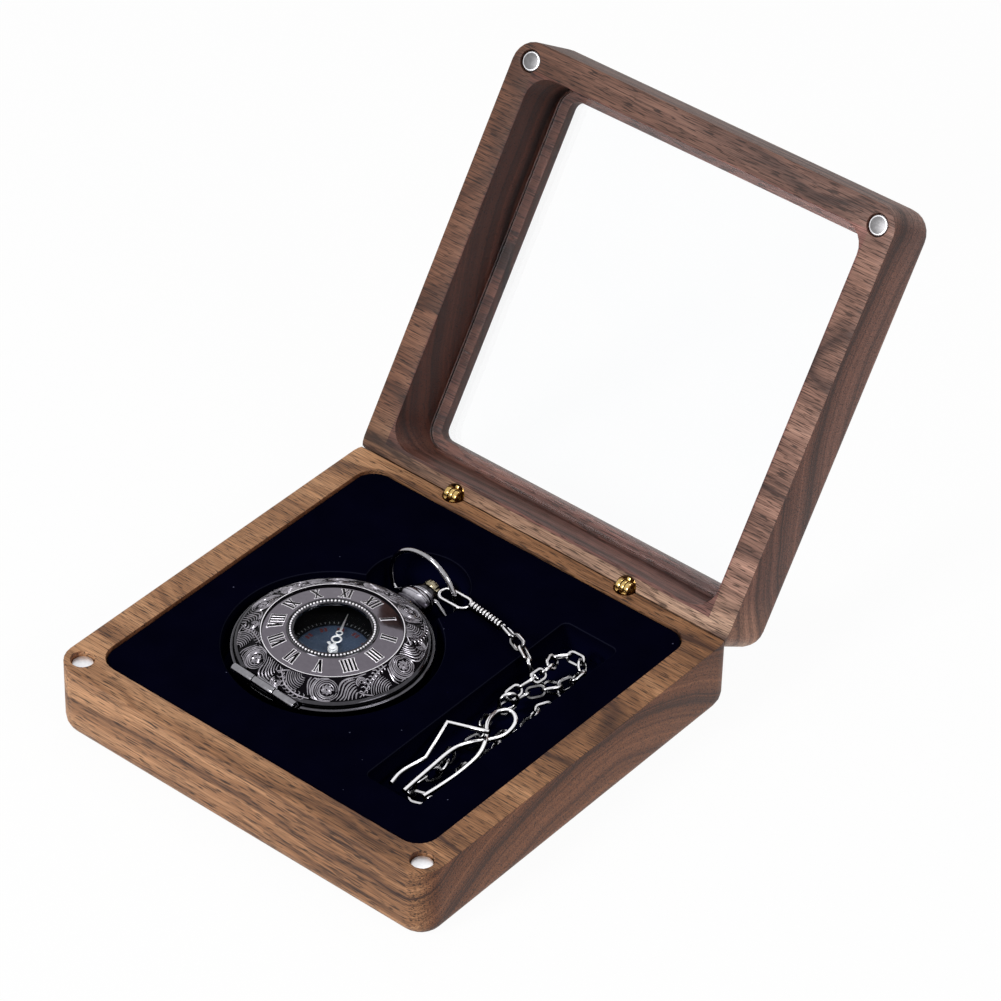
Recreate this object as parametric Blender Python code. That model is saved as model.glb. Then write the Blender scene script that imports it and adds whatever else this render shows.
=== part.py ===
"""Pocket watch display box in walnut, lid open, with the watch and chain that it shows.

Metres, +Z up, +Y towards the hinge, origin at the centre of the box's underside.
The lid is drawn closed and turned open about the hinge pin.
"""
import math

import bmesh
import bpy
from mathutils import Matrix, Vector

# Box, outside
BOX_WIDTH = 0.1100
BOX_DEPTH = 0.1086
BASE_HEIGHT = 0.0200
LID_HEIGHT = 0.0188
CORNER_RADIUS = 0.0059
BOTTOM_ROUNDING = 0.0045
LID_ROUNDING = 0.0040
CLEARANCE = 0.0003

# Box, inside
RIM_WIDTH = 0.0068
BACK_RIM_WIDTH = 0.0073
BASE_FLOOR = 0.0040
POCKET_RADIUS = 0.0055
LID_POCKET_DEPTH = 0.0157
LID_POCKET_RADIUS = 0.0060
WINDOW_LEDGE = 0.0036
WINDOW_RADIUS = 0.0025
GLASS_THICKNESS = 0.0020
GLASS_INSET = 0.0010

# Hinges
LID_OPEN_DEG = 122.75
HINGE_INSET = 0.0035
HINGE_SPREAD = 0.0516
BARREL_DIAMETER = 0.0050
BARREL_LENGTH = 0.0085
KNUCKLE_RADIUS = 0.0018
TONGUE_THICKNESS = 0.0009
EAR_THICKNESS = 0.0010
HINGE_PIN_DIAMETER = 0.0010
RUNNING_GAP = 0.00025
CHAMFER_SETBACK = 0.00015

# Magnets
MAGNET_DIAMETER = 0.0050
MAGNET_THICKNESS = 0.0020
MAGNET_INSET = 0.0048
BASE_MAGNET_DEPTH = 0.0012
LID_MAGNET_DEPTH = 0.0003

# Velvet and foam
VELVET_THICKNESS = 0.0006
VELVET_DROP = 0.0006
RECESS_DEPTH = 0.0101
RECESS_RADIUS = 0.0254
BOW_RECESS_RADIUS = 0.0123
BOW_RECESS_OFFSET = 0.0280
TRAY_MARGIN = 0.0103
TRAY_WIDTH = 0.0153
TRAY_FRONT = -0.0365
TRAY_LENGTH = 0.0695
TRAY_RADIUS = 0.0015
TRAY_DEPTH = 0.0078

# Watch
WATCH_X = -0.0123
WATCH_Y = -0.0076
WATCH_TURN_DEG = -2.5
CASE_RADIUS = 0.0232
CASE_WALL = 0.0032
CASE_BACK_HEIGHT = 0.0024
CASE_BACK_RADIUS = 0.0208
CASE_MIDDLE_HEIGHT = 0.0065
CASE_EDGE = 0.0006
CASE_RIM_RISE = 0.0006
BEZEL_RADIUS = 0.0202
BEZEL_WIDTH = 0.0032
BEZEL_HEIGHT = 0.0008
BEZEL_LEDGE = 0.0009
CRYSTAL_THICKNESS = 0.0008
DIAL_THICKNESS = 0.0004
DIAL_DROP = 0.0016
MOVEMENT_THICKNESS = 0.0032
POST_RADIUS = 0.0005
HAND_THICKNESS = 0.00022
HAND_LIFT = 0.00035
MINUTE_HAND_LENGTH = 0.0134
HOUR_HAND_LENGTH = 0.0092
HAND_HUB_RADIUS = 0.0011
HAND_TAIL = 0.0030
HAND_EYE_RADIUS = 0.0012
HAND_EYE_PLACE = 0.26
HOUR_SHOWN = 4
MINUTE_HAND_DEG = -27.0
COVER_RADIUS = 0.0224
COVER_EDGE_HEIGHT = 0.0008
COVER_HEIGHT = 0.0045
COVER_SHEET = 0.0007
COVER_EDGE_EASE = 0.0005
NUMERAL_RING_OUTER = 0.0162
NUMERAL_RING_INNER = 0.0112
NUMERAL_RING_FALL = 0.0005
BEAD_RING_HEIGHT = 0.0003
WINDOW_PANE_THICKNESS = 0.0006
WINDOW_PANE_SEAT = 0.0012
COVER_WINDOW_RADIUS = 0.0088
COVER_HINGE_WIDTH = 0.0192
COVER_KNUCKLE_RADIUS = 0.0011
COVER_HINGE_INSET = 0.0004
COVER_PIN_DIAMETER = 0.0008
PENDANT_RADIUS = 0.0028
COLLAR_RADIUS = 0.0039
COLLAR_START = 0.0262
COLLAR_LENGTH = 0.0024
SLEEVE_RADIUS = 0.0034
SLEEVE_LENGTH = 0.0030
PENDANT_FLATNESS = 0.60
CROWN_RADIUS = 0.0024
CROWN_LENGTH = 0.0022
CROWN_GAP = 0.0003
CROWN_FLUTES = 16
CROWN_FLUTE_SHARE = 0.92
CROWN_BORE = 0.65
STEM_RADIUS = 0.0005
STEM_REACH = 0.62
BOW_WIRE_RADIUS = 0.0006
BOW_RADIUS = 0.0102
BOW_RISE = 0.0016
BOW_LEG_DEG = 22.0
BOW_PIN_LENGTH = 0.0010

# Chain
CLASP_WIRE_RADIUS = 0.00050
CLASP_LOOP_LENGTH = 0.0084
CLASP_LOOP_WIDTH = 0.0040
CLASP_FORWARD = 0.0005
SPRING_RADIUS = 0.0013
SPRING_LENGTH = 0.0100
SPRING_TURNS = 11
SPRING_TURN_DEG = -7.0
LINK_WIRE_RADIUS = 0.00045
LINK_PITCH = 0.0037
LINK_WIDTH = 0.0033
CLIP_WIRE_RADIUS = 0.0006
CLIP_FROM_FRONT = 0.0040
JUMP_RING_RADIUS = 0.0022

# Worked out from the sizes above
LID_OPEN = math.radians(LID_OPEN_DEG)
HALF_WIDTH = BOX_WIDTH / 2
HALF_DEPTH = BOX_DEPTH / 2
PIVOT_Y = HALF_DEPTH - HINGE_INSET
PIVOT_Z = BASE_HEIGHT + CLEARANCE / 2
LID_BOTTOM = BASE_HEIGHT + CLEARANCE
LID_TOP = LID_BOTTOM + LID_HEIGHT
INNER_HALF = HALF_WIDTH - RIM_WIDTH
INNER_FRONT = -HALF_DEPTH + RIM_WIDTH
INNER_BACK = HALF_DEPTH - BACK_RIM_WIDTH
HOLE_RADIUS = BARREL_DIAMETER / 2 + CLEARANCE
VELVET_TOP = BASE_HEIGHT - VELVET_DROP
RECESS_FLOOR = VELVET_TOP - RECESS_DEPTH
TRAY_FLOOR = VELVET_TOP - TRAY_DEPTH
TRAY_LEFT = INNER_HALF - TRAY_MARGIN - TRAY_WIDTH
ROUTE_UNIT = TRAY_LENGTH / 69.5
WATCH_Z = RECESS_FLOOR + CLEARANCE
MIDDLE_TOP = CASE_BACK_HEIGHT + CASE_MIDDLE_HEIGHT
PENDANT_Z = CASE_BACK_HEIGHT + CASE_MIDDLE_HEIGHT / 2
BEZEL_BOTTOM = MIDDLE_TOP + CLEARANCE
BEZEL_TOP = BEZEL_BOTTOM + BEZEL_HEIGHT
COVER_BOTTOM = MIDDLE_TOP + 2 * CLEARANCE
COVER_TOP = COVER_BOTTOM + COVER_HEIGHT
SLEEVE_START = COLLAR_START + COLLAR_LENGTH
SLEEVE_END = SLEEVE_START + SLEEVE_LENGTH
BOW_PIVOT_Y = SLEEVE_START + SLEEVE_LENGTH * 0.55
COVER_HINGE_Y = -COVER_RADIUS + COVER_HINGE_INSET
COVER_HINGE_Z = MIDDLE_TOP + CLEARANCE + COVER_KNUCKLE_RADIUS
BORE = CASE_RADIUS - CASE_WALL
FAR = 0.2

WALNUT = ("walnut", (0.23, 0.12, 0.06), 0.55, 0.0)
VELVET = ("velvet", (0.006, 0.007, 0.015), 0.95, 0.0)
FOAM = ("foam", (0.05, 0.05, 0.05), 0.95, 0.0)
BRASS = ("brass", (0.80, 0.55, 0.20), 0.20, 1.0)
GLASS = ("glass", (0.90, 0.94, 0.96), 0.02, 0.0)
STEEL = ("magnet steel", (0.70, 0.70, 0.70), 0.25, 1.0)
GUNMETAL = ("gunmetal", (0.16, 0.15, 0.17), 0.30, 1.0)
SILVER = ("silvered hands", (0.85, 0.85, 0.85), 0.25, 1.0)
DIAL = ("dial enamel", (0.12, 0.15, 0.20), 0.40, 0.0)


def clear_scene():
    """Remove what the scene holds."""
    for obj in list(bpy.data.objects):
        bpy.data.objects.remove(obj)


def material(finish):
    """The Principled material of one finish, made once."""
    name, colour, roughness, metallic = finish
    found = bpy.data.materials.get(name)
    if found:
        return found
    made = bpy.data.materials.new(name)
    made.use_nodes = True
    shader = made.node_tree.nodes["Principled BSDF"]
    shader.inputs["Base Color"].default_value = (*colour, 1.0)
    shader.inputs["Roughness"].default_value = roughness
    shader.inputs["Metallic"].default_value = metallic
    return made


def frame_empty(name, place, turn=(0.0, 0.0, 0.0), parent=None):
    """An empty that carries the pieces of one moving body."""
    empty = bpy.data.objects.new(name, None)
    empty.location = place
    empty.rotation_euler = turn
    empty.parent = parent
    bpy.context.scene.collection.objects.link(empty)
    return empty


def mesh_object(name, bm, finish=None, parent=None):
    """An object from a closed bmesh, with its faces out."""
    bmesh.ops.recalc_face_normals(bm, faces=bm.faces)
    mesh = bpy.data.meshes.new(name)
    bm.to_mesh(mesh)
    bm.free()
    obj = bpy.data.objects.new(name, mesh)
    bpy.context.scene.collection.objects.link(obj)
    obj.parent = parent
    if finish is None:
        obj.hide_render = True
        obj.display_type = "WIRE"
    else:
        mesh.materials.append(material(finish))
        mesh.shade_smooth()
        mesh.set_sharp_from_angle(angle=math.radians(35))
    return obj


def combine(obj, cutter, operation="DIFFERENCE"):
    """Cut one object with another, or join them."""
    modifier = obj.modifiers.new(f"{operation.lower()} {cutter.name}", "BOOLEAN")
    modifier.operation = operation
    modifier.solver = "EXACT"
    modifier.object = cutter
    return obj


def rounded_rectangle(left, right, front, back, radius, steps=6):
    """Points round a rectangle with round corners, anticlockwise."""
    corners = (
        (right - radius, front + radius, -math.pi / 2),
        (right - radius, back - radius, 0.0),
        (left + radius, back - radius, math.pi / 2),
        (left + radius, front + radius, math.pi),
    )
    points = []
    for x, y, start in corners:
        for step in range(steps + 1):
            angle = start + math.pi / 2 * step / steps
            points.append((x + radius * math.cos(angle), y + radius * math.sin(angle)))
    return points


def loft(sections):
    """A closed bmesh through outlines of equal length: [(points, z), ...]."""
    bm = bmesh.new()
    rings = [[bm.verts.new((x, y, z)) for x, y in outline] for outline, z in sections]
    bm.faces.new(reversed(rings[0]))
    bm.faces.new(rings[-1])
    for low, high in zip(rings, rings[1:]):
        for i in range(len(low)):
            j = (i + 1) % len(low)
            bm.faces.new((low[i], low[j], high[j], high[i]))
    return bm


def prism(outline, bottom, top):
    """A straight closed block on an outline."""
    return loft([(outline, bottom), (outline, top)])


def box_block(bottom, top, low_rounding=0.0, high_rounding=0.0, steps=5):
    """The outer block of the base or the lid, its lower or upper edge rounded."""

    def section(inset, z):
        x, y = HALF_WIDTH - inset, HALF_DEPTH - inset
        return rounded_rectangle(-x, x, -y, y, CORNER_RADIUS - inset), z

    sections = []
    if low_rounding:
        for step in range(steps):
            angle = math.pi / 2 * step / steps
            inset, rise = 1 - math.sin(angle), 1 - math.cos(angle)
            sections.append(section(low_rounding * inset, bottom + low_rounding * rise))
        sections.append(section(0.0, bottom + low_rounding))
    else:
        sections.append(section(0.0, bottom))
    if high_rounding:
        sections.append(section(0.0, top - high_rounding))
        for step in range(1, steps + 1):
            angle = math.pi / 2 * step / steps
            inset, drop = 1 - math.cos(angle), 1 - math.sin(angle)
            sections.append(section(high_rounding * inset, top - high_rounding * drop))
    else:
        sections.append(section(0.0, top))
    return loft(sections)


def turned(profile, segments):
    """A closed bmesh turned about Z from (radius, z) points; radius 0 is a pole."""
    bm = bmesh.new()
    rings = []
    for radius, z in profile:
        if radius == 0.0:
            rings.append([bm.verts.new((0.0, 0.0, z))])
            continue
        ring = []
        for i in range(segments):
            angle = 2 * math.pi * i / segments
            ring.append(bm.verts.new((radius * math.cos(angle), radius * math.sin(angle), z)))
        rings.append(ring)
    pairs = list(zip(rings, rings[1:]))
    if len(rings[0]) > 1 and len(rings[-1]) > 1:
        pairs.append((rings[-1], rings[0]))
    for a, b in pairs:
        for i in range(segments):
            j = (i + 1) % segments
            if len(a) == 1:
                bm.faces.new((a[0], b[j], b[i]))
            elif len(b) == 1:
                bm.faces.new((a[i], a[j], b[0]))
            else:
                bm.faces.new((a[i], a[j], b[j], b[i]))
    return bm


def disc(radius, bottom, top, segments=32):
    """A plain cylinder about Z."""
    return turned([(0.0, bottom), (radius, bottom), (radius, top), (0.0, top)], segments)


def ring_block(outer, inner, bottom, top, segments=48):
    """A plain ring about Z."""
    return turned([(outer, bottom), (outer, top), (inner, top), (inner, bottom)], segments)


def moved(bm, matrix):
    """The same bmesh, moved."""
    bmesh.ops.transform(bm, matrix=matrix, verts=bm.verts)
    return bm


def along_x(bm, place):
    """A bmesh about Z, laid along X with its middle at a place."""
    return moved(bm, Matrix.Translation(place) @ Matrix.Rotation(math.pi / 2, 4, "Y"))


def along_y(bm, place):
    """A bmesh about Z, laid so that its Z runs along Y."""
    return moved(bm, Matrix.Translation(place) @ Matrix.Rotation(-math.pi / 2, 4, "X"))


def cuboid(low, high):
    """A box between two corners."""
    outline = [(low[0], low[1]), (high[0], low[1]), (high[0], high[1]), (low[0], high[1])]
    return prism(outline, low[2], high[2])


def smooth_route(points, per_span):
    """Points on a Catmull-Rom curve through a route's own points."""
    route = [Vector(p) for p in points]
    ends = [2 * route[0] - route[1]] + route + [2 * route[-1] - route[-2]]
    out = []
    for i in range(1, len(ends) - 2):
        a, b, c, d = ends[i - 1 : i + 3]
        for step in range(per_span):
            t = step / per_span
            second = 2 * a - 5 * b + 4 * c - d
            third = 3 * b - a - 3 * c + d
            out.append(0.5 * (2 * b + (c - a) * t + second * t**2 + third * t**3))
    out.append(route[-1])
    return out


def swept(points, radii, sides, closed=False):
    """A closed bmesh of round section along points; radii is one value or one for each point."""
    if isinstance(radii, float):
        radii = [radii] * len(points)
    count = len(points)
    bm = bmesh.new()
    rings = []
    side = None
    for i, point in enumerate(points):
        before = points[i - 1] if i > 0 or closed else point
        after = points[(i + 1) % count] if i < count - 1 or closed else point
        forward = (after - before).normalized()
        if side is None:
            guide = Vector((0, 0, 1)) if abs(forward.z) < 0.9 else Vector((1, 0, 0))
            side = forward.cross(guide).normalized()
        side = (side - forward * side.dot(forward)).normalized()
        up = side.cross(forward)
        ring = []
        for k in range(sides):
            angle = 2 * math.pi * (k + 0.5) / sides
            ring.append(bm.verts.new(point + radii[i] * (math.cos(angle) * side + math.sin(angle) * up)))
        rings.append(ring)
    spans = count if closed else count - 1
    for i in range(spans):
        a, b = rings[i], rings[(i + 1) % count]
        for k in range(sides):
            m = (k + 1) % sides
            bm.faces.new((a[k], a[m], b[m], b[k]))
    if not closed:
        bm.faces.new(reversed(rings[0]))
        bm.faces.new(rings[-1])
    return bm


def hinge_places():
    """X of each hinge, with the word that names it."""
    return (("left", -HINGE_SPREAD / 2), ("right", HINGE_SPREAD / 2))


def magnet_places():
    """X and Y of each magnet, with the word that names it."""
    x = HALF_WIDTH - MAGNET_INSET
    y = -HALF_DEPTH + MAGNET_INSET
    return (("left", -x, y), ("right", x, y))


def chamfer_wedge(up):
    """The space beyond the back chamfer of the base, or of the lid when up is -1."""
    slope = LID_OPEN / 2
    outward = Vector((0.0, math.sin(slope), up * math.cos(slope)))
    along = Vector((0.0, math.cos(slope), -up * math.sin(slope)))
    pivot = Vector((0.0, PIVOT_Y, PIVOT_Z))
    near = pivot - outward * CHAMFER_SETBACK
    reach = HINGE_INSET * 4
    corners = [near - along * reach, near + along * reach]
    corners += [corners[1] + outward * reach, corners[0] + outward * reach]
    bm = bmesh.new()
    rings = [[bm.verts.new((x, p.y, p.z)) for p in corners] for x in (-BOX_WIDTH, BOX_WIDTH)]
    bm.faces.new(rings[0])
    bm.faces.new(reversed(rings[1]))
    for i in range(4):
        j = (i + 1) % 4
        bm.faces.new((rings[0][i], rings[0][j], rings[1][j], rings[1][i]))
    return bm


def pocket_outline(inset, radius):
    """The opening inside the rim, drawn in by an inset."""
    return rounded_rectangle(
        -INNER_HALF + inset, INNER_HALF - inset, INNER_FRONT + inset, INNER_BACK - inset, radius
    )


def base():
    """The walnut base: a block with a pocket, magnet holes, hinge holes and a chamfered back."""
    tray = mesh_object("base_frame", box_block(0.0, BASE_HEIGHT, low_rounding=BOTTOM_ROUNDING), WALNUT)
    pocket = prism(pocket_outline(0.0, POCKET_RADIUS), BASE_FLOOR, BASE_HEIGHT + FAR)
    combine(tray, mesh_object("cut_base_pocket", pocket))
    combine(tray, mesh_object("cut_base_chamfer", chamfer_wedge(1)))
    hole_bottom = BASE_HEIGHT - BARREL_LENGTH - CLEARANCE
    for side, x in hinge_places():
        hole = disc(HOLE_RADIUS, hole_bottom, BASE_HEIGHT + FAR, 24)
        moved(hole, Matrix.Translation((x, PIVOT_Y, 0)))
        combine(tray, mesh_object(f"cut_base_hinge_{side}", hole))
    magnet_bottom = BASE_HEIGHT - BASE_MAGNET_DEPTH - MAGNET_THICKNESS
    for side, x, y in magnet_places():
        hole = disc(MAGNET_DIAMETER / 2 + CLEARANCE, magnet_bottom - CLEARANCE, BASE_HEIGHT + FAR, 24)
        combine(tray, mesh_object(f"cut_base_magnet_{side}", moved(hole, Matrix.Translation((x, y, 0)))))
        magnet = disc(MAGNET_DIAMETER / 2, magnet_bottom, magnet_bottom + MAGNET_THICKNESS, 24)
        mesh_object(f"base_magnet_{side}", moved(magnet, Matrix.Translation((x, y, 0))), STEEL)


def recess_outline(grow, steps=40):
    """The watch's round recess with the lobe for its bow, grown by a wall's thickness."""
    big = RECESS_RADIUS + grow
    small = BOW_RECESS_RADIUS + grow
    apart = BOW_RECESS_OFFSET
    meet_y = (apart * apart + big * big - small * small) / (2 * apart)
    meet_x = math.sqrt(big * big - meet_y * meet_y)
    big_angle = math.atan2(meet_y, meet_x)
    small_angle = math.atan2(meet_y - apart, meet_x)
    turn = math.radians(WATCH_TURN_DEG)
    points = []
    for step in range(steps + 1):
        angle = math.pi - big_angle + (math.pi + 2 * big_angle) * step / steps
        points.append((big * math.cos(angle), big * math.sin(angle)))
    lobe_steps = steps // 2
    for step in range(1, lobe_steps):
        angle = small_angle + (math.pi - 2 * small_angle) * step / lobe_steps
        points.append((small * math.cos(angle), apart + small * math.sin(angle)))
    return [
        (
            WATCH_X + x * math.cos(turn) - y * math.sin(turn),
            WATCH_Y + x * math.sin(turn) + y * math.cos(turn),
        )
        for x, y in points
    ]


def tray_outline(grow):
    """The chain's tray, grown by a wall's thickness."""
    return rounded_rectangle(
        TRAY_LEFT - grow,
        TRAY_LEFT + TRAY_WIDTH + grow,
        TRAY_FRONT - grow,
        TRAY_FRONT + TRAY_LENGTH + grow,
        TRAY_RADIUS + grow,
        4,
    )


def lining():
    """The foam insert and the velvet over it, both sunk for the watch and for the chain."""
    skin = VELVET_THICKNESS + CLEARANCE
    outline = pocket_outline(CLEARANCE, POCKET_RADIUS - CLEARANCE)
    block = prism(outline, BASE_FLOOR + CLEARANCE, VELVET_TOP - skin)
    foam = mesh_object("foam_insert", block, FOAM)
    cloth = prism(outline, VELVET_TOP - VELVET_THICKNESS, VELVET_TOP)
    velvet = mesh_object("velvet_lining", cloth, VELVET)
    shapes = (("watch", recess_outline, RECESS_FLOOR), ("chain", tray_outline, TRAY_FLOOR))
    for name, outline, floor in shapes:
        cut = prism(outline(skin), floor - skin, BASE_HEIGHT + FAR)
        combine(foam, mesh_object(f"cut_foam_{name}", cut))
        cup = prism(outline(VELVET_THICKNESS), floor - VELVET_THICKNESS, VELVET_TOP - VELVET_THICKNESS / 2)
        combine(velvet, mesh_object(f"velvet_cup_{name}", cup), "UNION")
    for name, outline, floor in shapes:
        hollow = prism(outline(0.0), floor, BASE_HEIGHT + FAR)
        combine(velvet, mesh_object(f"cut_velvet_{name}", hollow))


def lid(hinge):
    """The walnut lid with its window, glass and magnets."""
    block = box_block(LID_BOTTOM, LID_TOP, high_rounding=LID_ROUNDING)
    frame = mesh_object("lid_frame", block, WALNUT, hinge)
    ledge = LID_BOTTOM + LID_POCKET_DEPTH
    pocket = prism(pocket_outline(0.0, LID_POCKET_RADIUS), LID_BOTTOM - FAR, ledge)
    combine(frame, mesh_object("cut_lid_pocket", pocket, parent=hinge))
    window = prism(pocket_outline(WINDOW_LEDGE, WINDOW_RADIUS), LID_BOTTOM, LID_TOP + FAR)
    combine(frame, mesh_object("cut_lid_window", window, parent=hinge))
    combine(frame, mesh_object("cut_lid_chamfer", chamfer_wedge(-1), parent=hinge))
    hole_top = LID_BOTTOM + BARREL_LENGTH + CLEARANCE
    for side, x in hinge_places():
        hole = disc(HOLE_RADIUS, LID_BOTTOM - FAR, hole_top, 24)
        moved(hole, Matrix.Translation((x, PIVOT_Y, 0)))
        combine(frame, mesh_object(f"cut_lid_hinge_{side}", hole, parent=hinge))
    magnet_bottom = LID_BOTTOM + LID_MAGNET_DEPTH
    magnet_top = magnet_bottom + MAGNET_THICKNESS
    for side, x, y in magnet_places():
        place = Matrix.Translation((x, y, 0))
        hole = disc(MAGNET_DIAMETER / 2 + CLEARANCE, LID_BOTTOM - FAR, magnet_top + CLEARANCE, 24)
        combine(frame, mesh_object(f"cut_lid_magnet_{side}", moved(hole, place), parent=hinge))
        magnet = disc(MAGNET_DIAMETER / 2, magnet_bottom, magnet_top, 24)
        mesh_object(f"lid_magnet_{side}", moved(magnet, place), STEEL, hinge)
    glass_top = ledge - CLEARANCE
    outline = pocket_outline(GLASS_INSET, LID_POCKET_RADIUS - GLASS_INSET)
    pane = prism(outline, glass_top - GLASS_THICKNESS, glass_top)
    mesh_object("glass_pane", pane, GLASS, hinge)


def ear_places():
    """The middle of each base ear, from the hinge's own middle."""
    offset = TONGUE_THICKNESS / 2 + RUNNING_GAP + EAR_THICKNESS / 2
    return (-offset, offset)


def hinge_barrel(name, side, x, up, parent):
    """One brass barrel: ears on the base's, which has up 1, and a tongue on the lid's."""
    pivot = Vector((x, PIVOT_Y, PIVOT_Z))
    far_end = pivot.z - up * BARREL_LENGTH
    bottom, top = sorted((far_end, pivot.z))
    place = Matrix.Translation((x, PIVOT_Y, 0))
    barrel = mesh_object(name, moved(disc(BARREL_DIAMETER / 2, bottom, top, 24), place), BRASS, parent)
    clear = KNUCKLE_RADIUS + RUNNING_GAP
    half_slot = TONGUE_THICKNESS / 2 + RUNNING_GAP
    plates = ear_places() if up > 0 else (0.0,)
    thickness = EAR_THICKNESS if up > 0 else TONGUE_THICKNESS
    wide = BARREL_DIAMETER
    edges = half_slot + EAR_THICKNESS
    if up > 0:
        openings = ((-wide, -edges), (-half_slot, half_slot), (edges, wide))
    else:
        openings = ((-wide, -TONGUE_THICKNESS / 2), (TONGUE_THICKNESS / 2, wide))
    near, far = sorted((pivot.z - up * clear, pivot.z + up * wide))
    for number, (left, right) in enumerate(openings):
        gap = cuboid((x + left, PIVOT_Y - wide, near), (x + right, PIVOT_Y + wide, far))
        combine(barrel, mesh_object(f"cut_{name}_{number}", gap, parent=parent))
    combine(barrel, mesh_object(f"cut_{name}_chamfer", chamfer_wedge(up), parent=parent))
    for number, offset in enumerate(plates):
        knuckle = disc(KNUCKLE_RADIUS, -thickness / 2, thickness / 2, 20)
        knuckle = along_x(knuckle, pivot + Vector((offset, 0, 0)))
        combine(barrel, mesh_object(f"knuckle_{name}_{number}", knuckle, parent=parent), "UNION")
    pin_hole = along_x(disc(HINGE_PIN_DIAMETER / 2 + RUNNING_GAP / 2, -wide, wide, 12), pivot)
    combine(barrel, mesh_object(f"cut_{name}_pin", pin_hole, parent=parent))
    return barrel


def hinges(hinge):
    """Two small barrel hinges, each a base barrel, a lid barrel and a pin."""
    for side, x in hinge_places():
        hinge_barrel(f"hinge_{side}_base_barrel", side, x, 1, None)
        hinge_barrel(f"hinge_{side}_lid_barrel", side, x, -1, hinge)
        half = ear_places()[1] + EAR_THICKNESS / 2
        pin = along_x(disc(HINGE_PIN_DIAMETER / 2, -half, half, 12), Vector((x, PIVOT_Y, PIVOT_Z)))
        mesh_object(f"hinge_{side}_pin", pin, BRASS)


def case_parts(watch):
    """Case back, middle, bezel and crystal."""
    back = turned(
        [
            (0.0, 0.0),
            (CASE_BACK_RADIUS * 0.86, 0.0),
            (CASE_BACK_RADIUS * 0.97, CASE_BACK_HEIGHT * 0.35),
            (CASE_BACK_RADIUS, CASE_BACK_HEIGHT),
            (0.0, CASE_BACK_HEIGHT),
        ],
        48,
    )
    mesh_object("watch_case_back", back, GUNMETAL, watch)
    bottom = CASE_BACK_HEIGHT + CLEARANCE
    belly = CASE_RADIUS
    middle = turned(
        [
            (BORE, bottom),
            (CASE_BACK_RADIUS + CLEARANCE, bottom),
            (belly - CASE_EDGE, bottom + CASE_MIDDLE_HEIGHT * 0.2),
            (belly, bottom + CASE_MIDDLE_HEIGHT * 0.5),
            (belly, MIDDLE_TOP + CASE_RIM_RISE / 2),
            (belly - RUNNING_GAP, MIDDLE_TOP + CASE_RIM_RISE),
            (COVER_RADIUS + RUNNING_GAP, MIDDLE_TOP + CASE_RIM_RISE),
            (COVER_RADIUS + RUNNING_GAP, MIDDLE_TOP),
            (BORE, MIDDLE_TOP),
        ],
        56,
    )
    case = mesh_object("watch_case_middle", middle, GUNMETAL, watch)
    reach = COVER_HINGE_WIDTH / 2 + CLEARANCE
    notch = cuboid((-reach, -FAR, MIDDLE_TOP), (reach, 0.0, FAR))
    combine(case, mesh_object("cut_case_rim", notch, parent=watch))
    neck_start = (BORE + CASE_RADIUS) / 2
    neck = turned(
        [
            (0.0, neck_start),
            (PENDANT_RADIUS * 1.3, neck_start),
            (PENDANT_RADIUS, COLLAR_START - COLLAR_LENGTH * 0.6),
            (COLLAR_RADIUS * 0.85, COLLAR_START),
            (COLLAR_RADIUS, COLLAR_START + COLLAR_LENGTH * 0.4),
            (COLLAR_RADIUS * 0.95, COLLAR_START + COLLAR_LENGTH * 0.8),
            (SLEEVE_RADIUS * 0.9, SLEEVE_START),
            (SLEEVE_RADIUS, SLEEVE_START + SLEEVE_LENGTH * 0.12),
            (SLEEVE_RADIUS, SLEEVE_START + SLEEVE_LENGTH * 0.9),
            (SLEEVE_RADIUS * 0.85, SLEEVE_END),
            (0.0, SLEEVE_END),
        ],
        24,
    )
    moved(neck, Matrix.Diagonal((1.0, PENDANT_FLATNESS, 1.0, 1.0)))
    pendant = mesh_object("pendant", along_y(neck, (0, 0, PENDANT_Z)), parent=watch)
    combine(case, pendant, "UNION")
    for side, left, right in cover_knuckles():
        if side == "middle":
            continue
        combine(case, mesh_object(f"lug_{side}", hinge_lug(left, right), parent=watch), "UNION")
    bore_radius = (COVER_PIN_DIAMETER + RUNNING_GAP) / 2
    bore = along_x(disc(bore_radius, -FAR, FAR, 12), (0, COVER_HINGE_Y, COVER_HINGE_Z))
    combine(case, mesh_object("cut_case_pin", bore, parent=watch))
    stem_hole = along_y(disc(STEM_RADIUS + CLEARANCE, BORE / 2, FAR, 16), (0, 0, PENDANT_Z))
    combine(case, mesh_object("cut_case_stem", stem_hole, parent=watch))
    socket = SLEEVE_RADIUS - BOW_PIN_LENGTH
    for side, near, far in (("left", -FAR, -socket), ("right", socket, FAR)):
        hole = disc(BOW_WIRE_RADIUS + CLEARANCE, near, far, 12)
        along_x(hole, (0, BOW_PIVOT_Y, PENDANT_Z))
        combine(case, mesh_object(f"cut_case_bow_{side}", hole, parent=watch))
    seat = BEZEL_RADIUS - BEZEL_WIDTH
    ledge = BEZEL_BOTTOM + BEZEL_HEIGHT * 0.3
    crystal_bottom = ledge + CLEARANCE
    bezel = turned(
        [
            (seat, BEZEL_BOTTOM),
            (BEZEL_RADIUS, BEZEL_BOTTOM),
            (BEZEL_RADIUS, BEZEL_TOP - BEZEL_HEIGHT / 2),
            (BEZEL_RADIUS - BEZEL_HEIGHT, BEZEL_TOP),
            (seat + BEZEL_LEDGE, BEZEL_TOP),
            (seat + BEZEL_LEDGE, ledge),
            (seat, ledge),
        ],
        56,
    )
    mesh_object("watch_bezel", bezel, GUNMETAL, watch)
    crystal = disc(seat + BEZEL_LEDGE - CLEARANCE, crystal_bottom, crystal_bottom + CRYSTAL_THICKNESS, 48)
    mesh_object("watch_crystal", crystal, GLASS, watch)


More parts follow.
